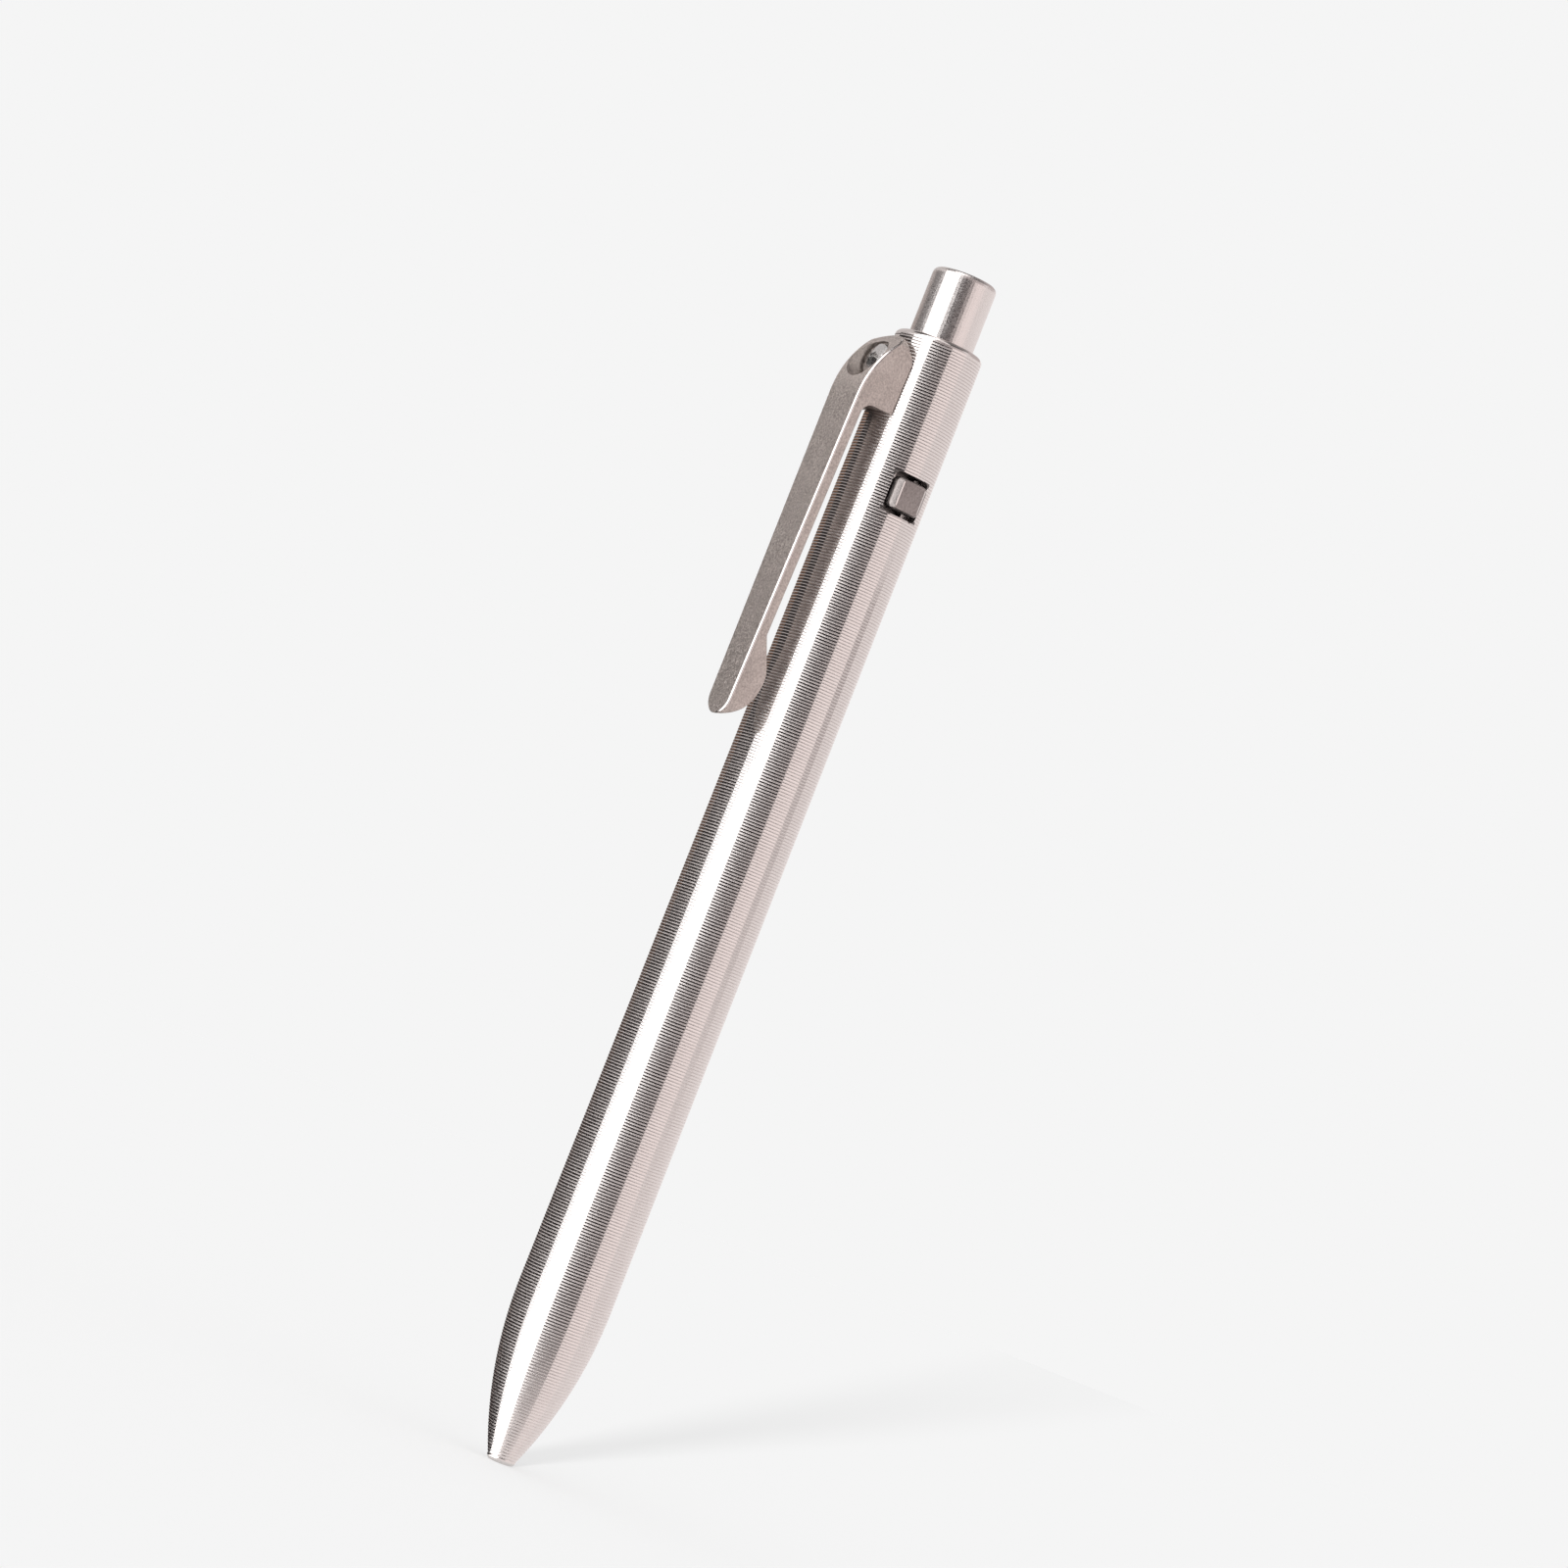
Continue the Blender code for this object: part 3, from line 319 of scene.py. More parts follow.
def make_mesh(name, points, faces, sharp_degrees):
    """Object from points in the pen's own axes, smooth but for edges sharper than the limit."""
    mesh = bpy.data.meshes.new(name)
    mesh.from_pydata(in_place(points).tolist(), [], faces)
    mesh.shade_smooth()
    mesh.set_sharp_from_angle(angle=math.radians(sharp_degrees))
    made = bpy.data.objects.new(name, mesh)
    bpy.context.scene.collection.objects.link(made)
    return made


def outward(made):
    """Turns the faces of a closed mesh so that they all look out."""
    shape = bmesh.new()
    shape.from_mesh(made.data)
    bmesh.ops.recalc_face_normals(shape, faces=shape.faces)
    shape.to_mesh(made.data)
    shape.free()


def lathe(name, profile, steps, sharp_degrees):
    """Closed outline of (radius, height) points, given anticlockwise, spun round the pen's axis."""
    profile = np.array(profile)
    angles = np.arange(steps) * 2 * math.pi / steps
    radius = profile[:, 0][:, None]
    height = np.repeat(profile[:, 1][:, None], steps, 1)
    points = np.stack([radius * np.cos(angles), radius * np.sin(angles), height], 2)
    faces = grid_faces(len(profile), steps, closed_rows=True, closed_columns=True)
    return make_mesh(name, points.reshape(-1, 3), faces.tolist(), sharp_degrees)


def circle_side(radius, length):
    """Height of a circle's edge over its middle line, at this length from its centre."""
    return np.sqrt(np.maximum(radius**2 - length**2, 0.0))


def arc_drop(radius, length):
    """How far an arc has left its tangent after length along it."""
    return radius - circle_side(radius, length)


def nose_curve():
    """Radius of the long arc that the nose follows."""
    drop = GRIP_RADIUS - NOSE_END_RADIUS
    return (NOSE_CURVE_HEIGHT**2 + drop**2) / (2 * drop)


def body_radius(height):
    """Outer radius of the body at each height: a round nose, then a slight taper to the rim."""
    below = np.clip(NOSE_CURVE_HEIGHT - height, 0.0, None)
    share = np.clip((height - NOSE_CURVE_HEIGHT) / (RIM_HEIGHT - NOSE_CURVE_HEIGHT), 0.0, 1.0)
    return GRIP_RADIUS - arc_drop(nose_curve(), below) + (REAR_RADIUS - GRIP_RADIUS) * share


def nose_height(radius):
    """Height at which the nose has grown to this radius."""
    drop = GRIP_RADIUS - radius
    return NOSE_CURVE_HEIGHT - math.sqrt(2 * nose_curve() * drop - drop**2)


def grooved(low, high):
    """Outline up a grooved stretch, from one groove's bottom to the last: bottom, land, land."""
    count = round((high - low) / GROOVE_PITCH)
    pitch = (high - low) / count
    starts = low + pitch * np.arange(count)
    rows = [np.stack([body_radius(starts) - GROOVE_DEPTH, starts], 1)]
    for share in (LAND_START, LAND_END):
        land = starts + pitch * share
        rows.append(np.stack([body_radius(land), land], 1))
    outline = np.stack(rows, 1).reshape(-1, 2).tolist()
    return [*outline, [body_radius(high) - GROOVE_DEPTH, high]]


def face_vectors(piece, name):
    """Centres or normals of a piece's faces, as an array."""
    values = np.empty(3 * len(piece.data.polygons))
    piece.data.polygons.foreach_get(name, values)
    return values.reshape(-1, 3)


def face_radius(centres):
    """Distance of faces from the pen's axis, taken to the corners of a turned piece."""
    to_corner = math.cos(math.pi / BODY_STEPS)
    return np.hypot(centres[:, 0] - AXIS_X, centres[:, 1] - AXIS_Y) / to_corner


def groove_walls(piece, low, high):
    """Which faces of a piece are the walls of its grooves, between two heights."""
    centres = face_vectors(piece, "center")
    height = centres[:, 2]
    depth = body_radius(height) - face_radius(centres)
    grooved_stretch = (height > low) & (height < high)
    return grooved_stretch & (depth > WALL_HIGHEST) & (depth < WALL_DEEPEST)


def give_indexes(piece, indexes):
    """Gives each face of a piece the material with its index."""
    piece.data.polygons.foreach_set("material_index", indexes.astype(np.int32))


def build_nose_section():
    """Lathe outline: lip, grooved nose and grip, spigot, then down the stepped bore."""
    lip_radius = body_radius(TIP_LIP)
    lip_round = (lip_radius - TIP_HOLE) * LIP_ROUND_SHARE
    lip = arc((lip_radius - lip_round, lip_round), lip_round, -90, 0, ROUND_STEPS)
    spigot = BODY_BORE - SEAT_GAP
    seat = nose_height(SPRING_BORE + NOSE_WALL)
    step = nose_height(REFILL_BORE + NOSE_WALL)
    profile = [
        (TIP_HOLE, 0.0),
        *lip,
        (lip_radius, TIP_LIP),
        *grooved(TIP_LIP + GROOVE_PITCH * (1 - LAND_END), SEAM_HEIGHT),
        (spigot, SEAM_HEIGHT),
        (spigot, SPIGOT_END - JOINT_CHAMFER),
        (spigot - JOINT_CHAMFER, SPIGOT_END),
        (REFILL_BORE, SPIGOT_END),
        (REFILL_BORE, step),
        (SPRING_BORE, step),
        (SPRING_BORE, seat),
        (HOLDER_BORE, seat),
        (HOLDER_BORE, TIP_HOLE_LENGTH),
        (TIP_HOLE, TIP_HOLE_LENGTH),
    ]
    nose = lathe("grooved_nose", profile, BODY_STEPS, BODY_SHARP_DEGREES)
    outward(nose)
    give_indexes(nose, groove_walls(nose, TIP_LIP, SEAM_HEIGHT))
    return nose


def on_pen(piece, body, materials, node):
    """Gives a piece its materials, its body and its finish, and lets it stand for a CAD node."""
    for material in materials:
        piece.data.materials.append(material)
    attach(piece, body)
    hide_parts(node)


def principled(name, colour, roughness, metallic=1.0):
    """Material with one Principled shader."""
    material = bpy.data.materials.new(name)
    material.use_nodes = True
    shader = material.node_tree.nodes["Principled BSDF"]
    shader.inputs["Base Color"].default_value = (*colour, 1.0)
    shader.inputs["Roughness"].default_value = roughness
    shader.inputs["Metallic"].default_value = metallic
    return material


def effect(name, inputs, outputs):
    """Empty node group with number inputs, given as name: value, and number outputs."""
    group = bpy.data.node_groups.new(name, "ShaderNodeTree")
    for socket, value in inputs.items():
        made = group.interface.new_socket(socket, in_out="INPUT", socket_type="NodeSocketFloat")
        made.default_value = value
    for socket in outputs:
        group.interface.new_socket(socket, in_out="OUTPUT", socket_type="NodeSocketFloat")
    return group, new_node(group, "NodeGroupInput"), new_node(group, "NodeGroupOutput")


def placed(material, group, **values):
    """Places a node group in a material with its own values."""
    node = new_node(material.node_tree, "ShaderNodeGroup", node_tree=group)
    for name, value in values.items():
        node.inputs[name.replace("_", " ").title()].default_value = value
    return node


def spread(material, mask, roughness=None, colours=None, bump=None):
    """Drives roughness (low, high), colour (dark, light) and bump (strength, metres) by a mask."""
    tree = material.node_tree
    shader = tree.nodes["Principled BSDF"]
    if roughness:
        remap = new_node(tree, "ShaderNodeMapRange")
        remap.inputs["To Min"].default_value, remap.inputs["To Max"].default_value = roughness
        tree.links.new(mask, remap.inputs["Value"])
        tree.links.new(remap.outputs["Result"], shader.inputs["Roughness"])
    if colours:
        mix = new_node(tree, "ShaderNodeMix", data_type="RGBA")
        dark, light = [socket for socket in mix.inputs if socket.type == "RGBA"]
        dark.default_value, light.default_value = [(*colour, 1.0) for colour in colours]
        tree.links.new(mask, mix.inputs[0])
        tree.links.new(mix.outputs[2], shader.inputs["Base Color"])
    if bump:
        relief = new_node(tree, "ShaderNodeBump")
        relief.inputs["Strength"].default_value, relief.inputs["Distance"].default_value = bump
        tree.links.new(mask, relief.inputs["Height"])
        tree.links.new(relief.outputs["Normal"], shader.inputs["Normal"])


def sharpened_noise(group, place, detail, noise_range, scale=None):
    """Noise at a place, with the range of values that it mostly has spread to 0 to 1."""
    noise = new_node(group, "ShaderNodeTexNoise")
    noise.inputs["Scale"].default_value = 1.0
    noise.inputs["Detail"].default_value = detail
    group.links.new(place, noise.inputs["Vector"])
    if scale:
        group.links.new(scale, noise.inputs["Scale"])
    remap = new_node(group, "ShaderNodeMapRange")
    remap.inputs["From Min"].default_value, remap.inputs["From Max"].default_value = noise_range
    group.links.new(noise.outputs["Fac"], remap.inputs["Value"])
    return remap.outputs["Result"]


def marks_effect():
    """Fine marks round the pen's axis: noise stretched far more round the pen than along it."""
    scales = {"Round Scale": 300.0, "Line Scale": 20000.0}
    group, given, result = effect("turning_marks", scales, ["Marks"])
    place = new_node(group, "ShaderNodeTexCoord")
    scale = new_node(group, "ShaderNodeCombineXYZ")
    for axis, name in (("X", "Round Scale"), ("Y", "Round Scale"), ("Z", "Line Scale")):
        group.links.new(given.outputs[name], scale.inputs[axis])
    stretch = new_node(group, "ShaderNodeVectorMath", operation="MULTIPLY")
    group.links.new(place.outputs["Object"], stretch.inputs[0])
    group.links.new(scale.outputs[0], stretch.inputs[1])
    marks = sharpened_noise(group, stretch.outputs[0], MARKS_DETAIL, MARKS_NOISE_RANGE)
    group.links.new(marks, result.inputs["Marks"])
    return group


turning_marks = marks_effect()


def turned(name, tones, roughness, scales):
    """Metal with turning marks, scaled (round, along), that drive its tone and its gloss."""
    material = principled(name, tones[1], roughness[0])
    round_scale, line_scale = scales
    marks = placed(material, turning_marks, round_scale=round_scale, line_scale=line_scale)
    spread(material, marks.outputs["Marks"], roughness, tones)
    return material


turned_titanium = turned("turned_titanium", TITANIUM_TONES, (0.06, 0.13), (600.0, 9000.0))
groove_titanium = turned("groove_titanium", TITANIUM_TONES, (0.32, 0.46), (1500.0, 9000.0))
nose_materials = (turned_titanium, groove_titanium)
on_pen(build_nose_section(), "body", nose_materials, "nose_section")


# Rear barrel
# The rear half of the pen, a titanium tube turned with the same round grooves up to just under its
# smooth round rim. The slot for the button, its milled walls painted dark as shade in the slot, the
# hole for the clip's screw and the dimple that seats the button's spring are cut into it.

SEAM_GAP = 0.01 * MM
GUIDE_BORE = 4.00 * MM
GUIDE_START = 128.5 * MM
RIM_ROUND = 0.7 * MM
RIM_START_DEGREES = 14
GROOVES_BELOW_RIM = 0.55 * MM
SLOT_HEIGHT = 118.45 * MM
SLOT_HALF_WIDTH = 2.45 * MM
SLOT_HALF_TALL = 2.475 * MM
SLOT_CORNER = 0.8 * MM
SCREW_HEIGHT = 131.6 * MM
SCREW_HOLE = 1.1 * MM
DIMPLE_RADIUS = 1.5 * MM
DIMPLE_DEPTH = 0.3 * MM
CUT_OVER = 1.0 * MM
JUST_OVER = 1.01
BUTTON_WAY = (math.sin(PEN_TURN), -math.cos(PEN_TURN))
CORNER_STEPS = 6
ROD_STEPS = 64
TOOL_SHARP_DEGREES = 30.0
# Dark tones for the slot's walls: painted shade in the slot, not the metal's own colour.
SLOT_SHADE_TONES = ((0.15, 0.135, 0.13), (0.24, 0.22, 0.215))


def tube_faces(rings, columns):
    """Quads between closed rings of points, and one face over each end."""
    start = tuple(range(columns - 1, -1, -1))
    end = tuple(range((rings - 1) * columns, rings * columns))
    return [*grid_faces(rings, columns, closed_columns=True).tolist(), start, end]


def rounded_rectangle(half_x, half_z, corner):
    """Points round a rectangle whose corners are quarter arcs, as (x, z) pairs."""
    corner = min(corner, half_x, half_z)
    quarters = []
    for quarter, (side_x, side_z) in enumerate(((1, 1), (-1, 1), (-1, -1), (1, -1))):
        centre = (side_x * (half_x - corner), side_z * (half_z - corner))
        quarters.append(arc(centre, corner, 90 * quarter, 90 * quarter + 90, CORNER_STEPS))
    return np.concatenate(quarters)


def stacked(name, sections, height, sharp_degrees=TOOL_SHARP_DEGREES):
    """Solid along Y through rounded rectangles, given as (y, half width, half height, corner)."""
    rings = []
    for depth, half_x, half_z, corner in sections:
        outline = rounded_rectangle(half_x, half_z, corner) + (0.0, height)
        rings.append(np.insert(outline, 1, depth, 1))
    faces = tube_faces(len(rings), len(rings[0]))
    return make_mesh(name, np.concatenate(rings), faces, sharp_degrees)


def rod_along_x(name, radius, near, far, height):
    """Round rod towards the clip, from near to far from the pen's axis, used to cut holes."""
    ring = arc((0.0, height), radius, 0, 360, ROD_STEPS)[:-1]
    points = np.concatenate([np.insert(ring, 0, -reach, 1) for reach in (near, far)])
    return make_mesh(name, points, tube_faces(2, ROD_STEPS), TOOL_SHARP_DEGREES)


def cut(piece, *cutters, sharp_degrees):
    """Cuts the cutters out of a piece for good, and removes them."""
    for tool in (piece, *cutters):
        outward(tool)
    for tool in cutters:
        modifier = piece.modifiers.new(tool.name, "BOOLEAN")
        modifier.operation = "DIFFERENCE"
        modifier.object = tool
        modifier.solver = "MANIFOLD"
    shown = bpy.context.evaluated_depsgraph_get()
    mesh = bpy.data.meshes.new_from_object(piece.evaluated_get(shown))
    piece.modifiers.clear()
    piece.data = mesh
    mesh.materials.clear()
    mesh.shade_smooth()
    mesh.set_sharp_from_angle(angle=math.radians(sharp_degrees))
    for tool in cutters:
        bpy.data.objects.remove(tool)


def slot_walls(barrel):
    """Which faces of the barrel are the walls of the button's slot."""
    centres = face_vectors(barrel, "center")
    from_axis = centres[:, :2] - (AXIS_X, AXIS_Y)
    across = from_axis @ (BUTTON_WAY[1], -BUTTON_WAY[0])
    along = centres[:, 2] - SLOT_HEIGHT
    inside_slot = (from_axis @ BUTTON_WAY > 0) & (face_radius(centres) > BODY_BORE * JUST_OVER)
    inside_slot &= np.abs(across) < SLOT_HALF_WIDTH * JUST_OVER
    return inside_slot & (np.abs(along) < SLOT_HALF_TALL * JUST_OVER)


def build_rear_barrel():
    """Lathe outline: grooves, rim, then down the bore, from which three cutters are taken."""
    front = SEAM_HEIGHT + SEAM_GAP
    groove_end = RIM_HEIGHT - GROOVES_BELOW_RIM
    rim_centre = (body_radius(RIM_HEIGHT) - RIM_ROUND, RIM_HEIGHT - RIM_ROUND)
    profile = [
        (BODY_BORE + JOINT_CHAMFER, front),
        *grooved(front, groove_end)[:-1],
        *arc(rim_centre, RIM_ROUND, RIM_START_DEGREES, 90, ROUND_STEPS),
        (GUIDE_BORE + SEAT_GAP, RIM_HEIGHT),
        (GUIDE_BORE, RIM_HEIGHT - SEAT_GAP),
        (GUIDE_BORE, GUIDE_START + BODY_BORE - GUIDE_BORE),
        (BODY_BORE, GUIDE_START),
        (BODY_BORE, front + JOINT_CHAMFER),
    ]
    barrel = lathe("grooved_barrel", profile, BODY_STEPS, BODY_SHARP_DEGREES)
    slot_section = (SLOT_HALF_WIDTH, SLOT_HALF_TALL, SLOT_CORNER)
    slot = [(depth, *slot_section) for depth in (-REAR_RADIUS - CUT_OVER, -BODY_BORE + CUT_OVER)]
    dimple_section = (DIMPLE_RADIUS, DIMPLE_RADIUS, DIMPLE_RADIUS)
    dimple_depths = (BODY_BORE - CUT_OVER, BODY_BORE + DIMPLE_DEPTH)
    dimple = [(depth, *dimple_section) for depth in dimple_depths]
    cut(
        barrel,
        stacked("slot_tool", slot, SLOT_HEIGHT),
        stacked("dimple_tool", dimple, SLOT_HEIGHT),
        rod_along_x("screw_hole_tool", SCREW_HOLE, 0.0, REAR_RADIUS + CUT_OVER, SCREW_HEIGHT),
        sharp_degrees=BODY_SHARP_DEGREES,
    )
    # The slot's walls take the third material, a painted shade; the grooves' walls take the second.
    give_indexes(barrel, np.where(slot_walls(barrel), 2, groove_walls(barrel, front, groove_end)))
    return barrel


# Dark metal for the slot's walls, whose darkness is painted shade in the slot.
slot_shade_titanium = turned("slot_shade_titanium", SLOT_SHADE_TONES, (0.45, 0.60), (3000.0, 3000.0))
barrel_materials = (turned_titanium, groove_titanium, slot_shade_titanium)
on_pen(build_rear_barrel(), "body", barrel_materials, "rear_barrel")


# Pocket clip
# One piece of titanium, milled from the side and from the front, then bead blasted to a brown
# grey. Its edges were chamfered afterwards and are bright. Its saddle sits on the barrel, and one
# screw in a counterbore holds it.

CLIP_TOP = RIM_HEIGHT - 1.3 * MM
CLIP_UNDERSIDE = CLIP_TOP - 9.0 * MM
CLIP_BUMP = CLIP_TOP - 42.65 * MM
CLIP_TANGENT = CLIP_TOP - 8.65 * MM
CLIP_ARC = 11.1 * MM
CLIP_ARCH = 4.2 * MM
CREST_START = CLIP_TOP - 3.55 * MM
CREST_ROUND = 2.3 * MM
CREST_RISE = 2.05 * MM
CREST_SLOPE = 0.09
CLIP_REACH = 9.94 * MM
CLIP_END_REACH = 10.41 * MM
CLIP_HALF_WIDTH = 3.1 * MM
CLIP_HALF_WIDTH_HEIGHT = CLIP_TOP + 1.0 * MM
CLIP_END_HALF = 2.2 * MM
CLIP_ARM = 1.40 * MM
CLIP_FILLET = 1.3 * MM
CLIP_BUMP_THICKNESS = 3.5 * MM
CLIP_BUMP_ROUND = 3.4 * MM
CLIP_END_ROUND = 5.76 * MM
CLIP_END_LENGTH = float(circle_side(CLIP_END_ROUND, CLIP_END_ROUND - CLIP_BUMP_THICKNESS))
CLIP_LOW = CLIP_BUMP - CLIP_END_LENGTH
CLIP_RAMP = math.radians(26.0)
CLIP_RAMP_END = CLIP_BUMP + 6.0 * MM
CLIP_CHAMFER_ACROSS = 0.22 * MM
CLIP_CHAMFER_DEEP = 0.23 * MM
CLIP_EDGE_ACROSS = 0.05 * MM
CLIP_EDGE_DEEP = 0.13 * MM
CLIP_INNER_CHAMFER = 0.10 * MM
CHAMFER_WIDTH_SHARE, CHAMFER_THICKNESS_SHARE = 0.45, 0.3
SADDLE_FOOT = float(circle_side(REAR_RADIUS + SEAT_GAP, CLIP_HALF_WIDTH))
SADDLE_STEPS = 12
END_FIRST_TURN = 0.12
END_STEPS, BUMP_STEPS, ARM_STEPS, FILLET_STEPS = 17, 59, 11, 8
BLOCK_FIRST_RISE = 0.01 * MM
ARCH_LEVELS_START = CLIP_TOP - 1.3 * MM
ARCH_LEVELS_END = CLIP_TOP - 0.03 * MM
BLOCK_STEPS, ARCH_STEPS = 31, 15
COUNTERBORE = 2.6 * MM
COUNTERBORE_FLOOR = REAR_RADIUS + 1.4 * MM
CLIP_SHARP_DEGREES = 22.0
CLIP_WAY = (-math.cos(PEN_TURN), -math.sin(PEN_TURN))
CHAMFER_FORWARD = (0.3, 0.95)
CHAMFER_ASIDE = 0.2
CLIP_TONES = ((0.345, 0.305, 0.287), (0.67, 0.605, 0.567))
GRAIN_DETAIL, CLOUD_DETAIL = 2.0, 1.0
GRAIN_NOISE_RANGE = (0.28, 0.72)
DENT_STRENGTH, DENT_DEPTH = 0.6, 0.02 * MM


def clip_face(height):
    """Distance of the clip's outer face from the pen's axis: a slow slope, then an arc on top."""
    share = np.maximum(CLIP_TANGENT - height, 0.0) / (CLIP_TANGENT - CLIP_BUMP)
    slope = CLIP_REACH + (CLIP_END_REACH - CLIP_REACH) * share
    return slope - arc_drop(CLIP_ARC, np.maximum(height - CLIP_TANGENT, 0.0))


def clip_inside(height):
    """Distance of the inner face from the pen's axis: end, bump, ramp and arm, and a fillet."""
    peak = clip_face(CLIP_BUMP) - CLIP_BUMP_THICKNESS
    end = peak + arc_drop(CLIP_END_ROUND, CLIP_BUMP - height)
    bump = peak + arc_drop(CLIP_BUMP_ROUND, height - CLIP_BUMP)
    ramp_start = CLIP_BUMP + CLIP_BUMP_ROUND * math.sin(CLIP_RAMP)
    ramp_reach = peak + CLIP_BUMP_ROUND * (1 - math.cos(CLIP_RAMP))
    ramp = ramp_reach + (height - ramp_start) * math.tan(CLIP_RAMP)
    arm = clip_face(height) - CLIP_ARM
    fillet_centre = CLIP_UNDERSIDE - CLIP_FILLET
    fillet = arm - arc_drop(CLIP_FILLET, height - fillet_centre)
    stretches = (height < CLIP_BUMP, height < ramp_start, height > fillet_centre)
    return np.select(stretches, (end, bump, fillet), np.minimum(ramp, arm))


def block_inside(height):
    """Distance of the block's inner edge from the pen's axis: saddle foot, curve, slope."""
    rise = np.maximum(height - CREST_START, 0.0)
    curve = arc_drop(CREST_ROUND, np.minimum(rise, CREST_RISE))
    return SADDLE_FOOT + curve + np.maximum(rise - CREST_RISE, 0.0) * CREST_SLOPE


def clip_half_width(height):
    """Half the clip's width at a height: round end, slow taper, arched top."""
    end_centre = CLIP_LOW + CLIP_END_HALF
    end = circle_side(CLIP_END_HALF, end_centre - height)
    share = (height - end_centre) / (CLIP_HALF_WIDTH_HEIGHT - end_centre)
    taper = CLIP_END_HALF + (CLIP_HALF_WIDTH - CLIP_END_HALF) * share
    arch = circle_side(CLIP_ARCH, np.maximum(height - (CLIP_TOP - CLIP_ARCH), 0.0))
    return np.where(height < end_centre, end, np.minimum(taper, arch))


def clip_rings(levels, on_barrel):
    """Closed rings of points round the clip, one at each level, as (levels, points, 3).

    A ring runs along the outer face, over one chamfer in two flats, down that side, along the
    arm's inner face or the saddle's hollow, and back up the other side. Chamfers shrink with the
    width and the thickness that they are cut from.
    """
    height = levels[:, None]
    half = clip_half_width(height)
    outer = clip_face(height)
    inside = block_inside(height) if on_barrel else clip_inside(height)
    saddle = body_radius(height) + SEAT_GAP if on_barrel else 0.0
    thick = np.maximum(outer - inside, 0.0)
    widest, deepest = half * CHAMFER_WIDTH_SHARE, thick * CHAMFER_THICKNESS_SHARE
    across = np.minimum(CLIP_CHAMFER_ACROSS, widest)
    deep = np.minimum(CLIP_CHAMFER_DEEP, deepest)
    edge_across = CLIP_EDGE_ACROSS * across / CLIP_CHAMFER_ACROSS
    edge_deep = CLIP_EDGE_DEEP * deep / CLIP_CHAMFER_DEEP
    inner = np.minimum(CLIP_INNER_CHAMFER, np.minimum(deepest, widest))
    foot = np.maximum(inside, circle_side(saddle, half))
    corner = np.minimum(foot + inner, outer - deep)
    side_out = np.hstack([outer, outer - deep + edge_deep, outer - deep, corner])
    side_way = np.hstack([half - across, half - edge_across, half, half])
    hollow_way = (half - inner) * np.linspace(1.0, -1.0, SADDLE_STEPS + 1)
    hollow_out = np.minimum(np.maximum(inside, circle_side(saddle, hollow_way)), outer)
    out = np.hstack([outer, side_out, hollow_out, side_out[:, :0:-1]])
    way = np.hstack([across - half, side_way, hollow_way, -side_way[:, :0:-1]])
    return np.stack([-out, way, np.broadcast_to(height, out.shape)], 2)


def chamfers(clip):
    """Which faces of the clip are the chamfers round its front: they look forward and aside."""
    normals = face_vectors(clip, "normal")
    forward = normals[:, :2] @ CLIP_WAY
    aside = np.abs(normals[:, :2] @ BUTTON_WAY) > CHAMFER_ASIDE
    round_end = face_vectors(clip, "center")[:, 2] < CLIP_LOW + CLIP_END_HALF
    under = round_end & (normals[:, 2] < -CHAMFER_ASIDE)
    least, most = CHAMFER_FORWARD
    return (forward > least) & (forward < most) & (aside | under)


def build_clip():
    """Stacks the rings from the round end up to the crest, and cuts the screw's holes."""
    end_turns = np.linspace(END_FIRST_TURN, math.pi / 2, END_STEPS + 1)
    end_levels = CLIP_LOW + CLIP_END_HALF * (1 - np.cos(end_turns))
    bump_levels = np.linspace(CLIP_LOW + CLIP_END_HALF, CLIP_RAMP_END, BUMP_STEPS + 1)[1:]
    arm_levels = np.linspace(CLIP_RAMP_END, CLIP_UNDERSIDE - CLIP_FILLET, ARM_STEPS + 1)[1:]
    fillet_turns = np.linspace(0.0, math.pi / 2, FILLET_STEPS + 1)[1:]
    fillet_levels = CLIP_UNDERSIDE - CLIP_FILLET * (1 - np.sin(fillet_turns))
    block_start = CLIP_UNDERSIDE + BLOCK_FIRST_RISE
    block_levels = np.linspace(block_start, ARCH_LEVELS_START, BLOCK_STEPS + 1)
    arch_levels = np.linspace(ARCH_LEVELS_START, ARCH_LEVELS_END, ARCH_STEPS + 1)[1:]
    free_levels = np.concatenate([end_levels, bump_levels, arm_levels, fillet_levels])
    seated_levels = np.concatenate([block_levels, arch_levels])
    rings = np.concatenate([clip_rings(free_levels, False), clip_rings(seated_levels, True)])
    faces = tube_faces(*rings.shape[:2])
    clip = make_mesh("milled_clip", rings.reshape(-1, 3), faces, CLIP_SHARP_DEGREES)
    bore = (COUNTERBORE, COUNTERBORE_FLOOR, CLIP_END_REACH + CUT_OVER)
    cut(
        clip,
        rod_along_x("counterbore_tool", *bore, SCREW_HEIGHT),
        rod_along_x("clip_hole_tool", SCREW_HOLE, 0.0, CLIP_END_REACH, SCREW_HEIGHT),
        sharp_degrees=CLIP_SHARP_DEGREES,
    )
    give_indexes(clip, chamfers(clip))
    return clip


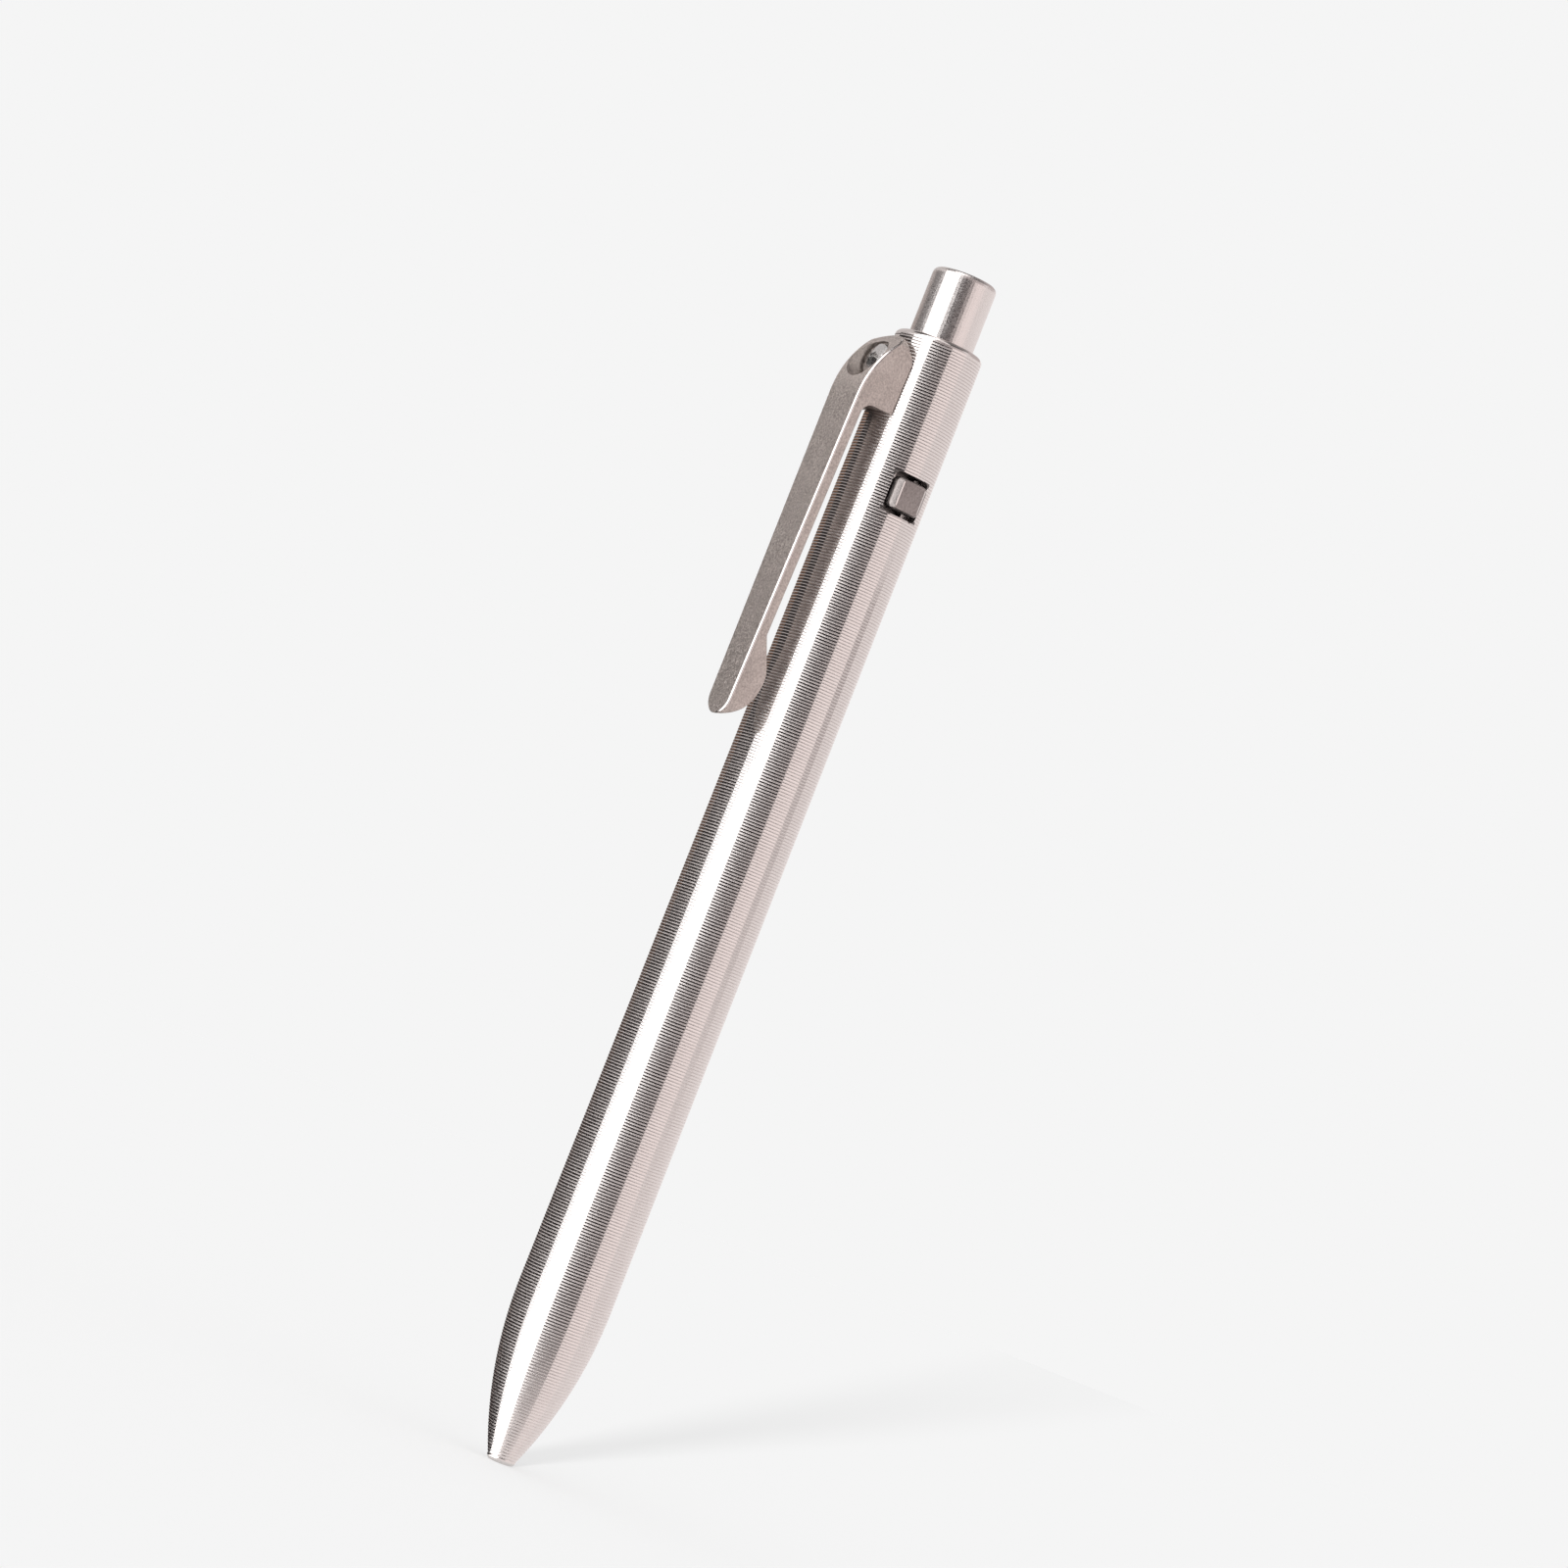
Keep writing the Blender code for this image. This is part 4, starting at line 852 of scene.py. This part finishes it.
def grain_effect():
    """Blasted grain: fine noise for the grit's dents, plus wider noise for clouds of tone."""
    settings = {"Grain Scale": 4500.0, "Cloud Scale": 500.0, "Cloud Share": 0.15}
    group, given, result = effect("blasted_grain", settings, ["Tone", "Dents"])
    place = new_node(group, "ShaderNodeTexCoord").outputs["Object"]
    fine, wide = given.outputs["Grain Scale"], given.outputs["Cloud Scale"]
    grain = sharpened_noise(group, place, GRAIN_DETAIL, GRAIN_NOISE_RANGE, fine)
    clouds = sharpened_noise(group, place, CLOUD_DETAIL, GRAIN_NOISE_RANGE, wide)
    tone = new_node(group, "ShaderNodeMix", data_type="FLOAT")
    group.links.new(given.outputs["Cloud Share"], tone.inputs[0])
    group.links.new(grain, tone.inputs[2])
    group.links.new(clouds, tone.inputs[3])
    group.links.new(tone.outputs[0], result.inputs["Tone"])
    group.links.new(grain, result.inputs["Dents"])
    return group


blasted_grain = grain_effect()


def blasted(name, tones, roughness):
    """Bead blasted titanium between two tones, dented and a little uneven in gloss."""
    material = principled(name, tones[1], roughness[0])
    grain = placed(material, blasted_grain)
    spread(material, grain.outputs["Dents"], roughness, bump=(DENT_STRENGTH, DENT_DEPTH))
    spread(material, grain.outputs["Tone"], colours=tones)
    return material


blasted_titanium = blasted("blasted_titanium", CLIP_TONES, (0.44, 0.58))
bright_edge = turned("bright_edge", TITANIUM_TONES, (0.12, 0.22), (3000.0, 3000.0))
on_pen(build_clip(), "body", (blasted_titanium, bright_edge), "clip")


# Side button
# A small blasted titanium key with broad bevels at its sides, milled from one block. Its stem and
# flange run inside the plunger, where they catch it, and its spring pushes it out.

BUTTON_REACH = REAR_RADIUS + 0.62 * MM
BUTTON_HALF_WIDTH = 2.15 * MM
BUTTON_HALF_TALL = 1.875 * MM
BUTTON_CORNER = 0.7 * MM
BUTTON_SIDE_BEVEL = 0.55 * MM
BUTTON_BEVEL_DEEP = 0.50 * MM
BUTTON_END_BEVEL = 0.15 * MM
BUTTON_EDGE = 0.11 * MM
BUTTON_EDGE_LEAN = 0.4 * BUTTON_EDGE
BUTTON_SHARP_DEGREES = 20.0
BUTTON_TONES = ((0.19, 0.17, 0.165), (0.36, 0.325, 0.315))
HEAD_INSIDE = 4.25 * MM
FLANGE_OUTSIDE = 2.20 * MM
FLANGE_INSIDE = 1.40 * MM
SPIGOT_INSIDE = 0.60 * MM
STEM_HALF = 1.2 * MM
STEM_CORNER = 0.3 * MM
FLANGE_HALF_WIDTH = 2.0 * MM
FLANGE_HALF_TALL = 2.9 * MM
FLANGE_CORNER = 0.5 * MM
SPIGOT_RADIUS = 0.6 * MM
LEVEL_NORMAL = 0.1


def build_side_button():
    """Head with softened bevels, then the stem, flange and spigot of the real key."""
    wide = BUTTON_HALF_WIDTH - BUTTON_SIDE_BEVEL
    tall = BUTTON_HALF_TALL - BUTTON_END_BEVEL
    edge, lean = BUTTON_EDGE, BUTTON_EDGE_LEAN
    stem = (STEM_HALF, STEM_HALF, STEM_CORNER)
    flange = (FLANGE_HALF_WIDTH, FLANGE_HALF_TALL, FLANGE_CORNER)
    spigot = (SPIGOT_RADIUS, SPIGOT_RADIUS, SPIGOT_RADIUS)
    head = (BUTTON_HALF_WIDTH, BUTTON_HALF_TALL, BUTTON_CORNER)
    shoulder = (BUTTON_HALF_WIDTH - edge, BUTTON_HALF_TALL - edge / 2, BUTTON_CORNER)
    bevel_foot = -BUTTON_REACH + BUTTON_BEVEL_DEEP
    sections = [
        (-BUTTON_REACH, wide - edge, tall - edge, BUTTON_CORNER / 2 - edge),
        (-BUTTON_REACH + lean, wide + lean, tall, BUTTON_CORNER / 2),
        (bevel_foot - edge, *shoulder),
        (bevel_foot + edge, *head),
        (-HEAD_INSIDE, *head),
        (-HEAD_INSIDE, *stem),
        (-FLANGE_OUTSIDE, *stem),
        (-FLANGE_OUTSIDE, *flange),
        (-FLANGE_INSIDE, *flange),
        (-FLANGE_INSIDE, *spigot),
        (-SPIGOT_INSIDE, *spigot),
    ]
    button = stacked("milled_button", sections, SLOT_HEIGHT, BUTTON_SHARP_DEGREES)
    outward(button)
    # The outer edge along the head's long sides takes the bright edge material: partly a polished
    # edge,
    # partly a painted highlight line, since the top and bottom edges are left blasted.
    bright = np.abs(face_vectors(button, "normal")[:, 2]) < LEVEL_NORMAL
    first_ring = len(bright) // (len(sections) - 1)
    bright[first_ring:] = False
    give_indexes(button, bright)
    return button


blasted_button = blasted("blasted_button", BUTTON_TONES, (0.36, 0.48))
button_materials = (blasted_button, bright_edge)
on_pen(build_side_button(), "side_button", button_materials, "side_button")


# Plunger
# A solid titanium rod, turned and given a satin polish, which the thumb presses in. Its forked foot
# runs inside the barrel, round the button's stem.

POLISH_STRENGTH = 0.22
polished_titanium = turned("polished_titanium", TITANIUM_TONES, (0.24, 0.36), (2500.0, 9000.0))
polished_grain = placed(polished_titanium, blasted_grain, grain_scale=6000.0)
spread(polished_titanium, polished_grain.outputs["Dents"], bump=(POLISH_STRENGTH, DENT_DEPTH))
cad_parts["plunger"].material_slots[0].material = polished_titanium


# Springs and clip screw
# One spring sits round the refill's nose and pushes it and the plunger back, and a smaller one
# stands in the barrel's dimple and pushes the button out. Both are coiled from bright stainless
# wire, and the clip's screw is turned from stainless rod.

STEEL_TONES = ((0.56, 0.55, 0.545), (0.65, 0.64, 0.63))
spring_steel = turned("spring_steel", STEEL_TONES, (0.14, 0.26), (4000.0, 4000.0))
for steel_node in ("button_spring", "refill_spring", "clip_screw"):
    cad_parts[steel_node].material_slots[0].material = spring_steel


def compressed(node):
    """Gives a spring its own copy of its mesh, still at its full length."""
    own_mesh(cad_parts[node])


compressed("refill_spring")
compressed("button_spring")


# Gel refill
# A polypropylene tube with its holder and end plug, a nickel silver point with a carbide ball, the
# black ink and the clear grease that follows it. It lies loose in the bore, between its spring and
# the plunger.

# Name, dark and light tone, lowest and highest roughness, metallic, and scale of the clouds.
REFILL_TONES = (
    ("refill_plastic", (0.72, 0.74, 0.75), (0.80, 0.82, 0.83), (0.34, 0.48), 0.0, 2500.0),
    ("nickel_silver", (0.58, 0.53, 0.45), (0.68, 0.63, 0.54), (0.15, 0.28), 1.0, 6000.0),
    ("carbide", (0.38, 0.38, 0.40), (0.45, 0.45, 0.47), (0.08, 0.16), 1.0, 9000.0),
    ("gel_ink", (0.008, 0.008, 0.013), (0.018, 0.018, 0.026), (0.10, 0.20), 0.0, 1500.0),
    ("follower_grease", (0.74, 0.66, 0.44), (0.84, 0.76, 0.55), (0.14, 0.26), 0.0, 1500.0),
)
REFILL_CLOUDS = 0.6
REFILL_FINISHES = {
    "refill_tube": "refill_plastic",
    "refill_tip_holder": "refill_plastic",
    "refill_end_plug": "refill_plastic",
    "refill_tip_cone": "nickel_silver",
    "refill_ball": "carbide",
    "ink_column": "gel_ink",
    "ink_follower": "follower_grease",
}
finishes = {}
for tone_name, dark_tone, light_tone, gloss, metal, grain_scale in REFILL_TONES:
    finish = principled(tone_name, light_tone, gloss[0], metal)
    clouds = placed(finish, blasted_grain, grain_scale=grain_scale, cloud_share=REFILL_CLOUDS)
    spread(finish, clouds.outputs["Tone"], gloss, (dark_tone, light_tone))
    finishes[tone_name] = finish
for refill_node, refill_finish in REFILL_FINISHES.items():
    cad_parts[refill_node].material_slots[0].material = finishes[refill_finish]
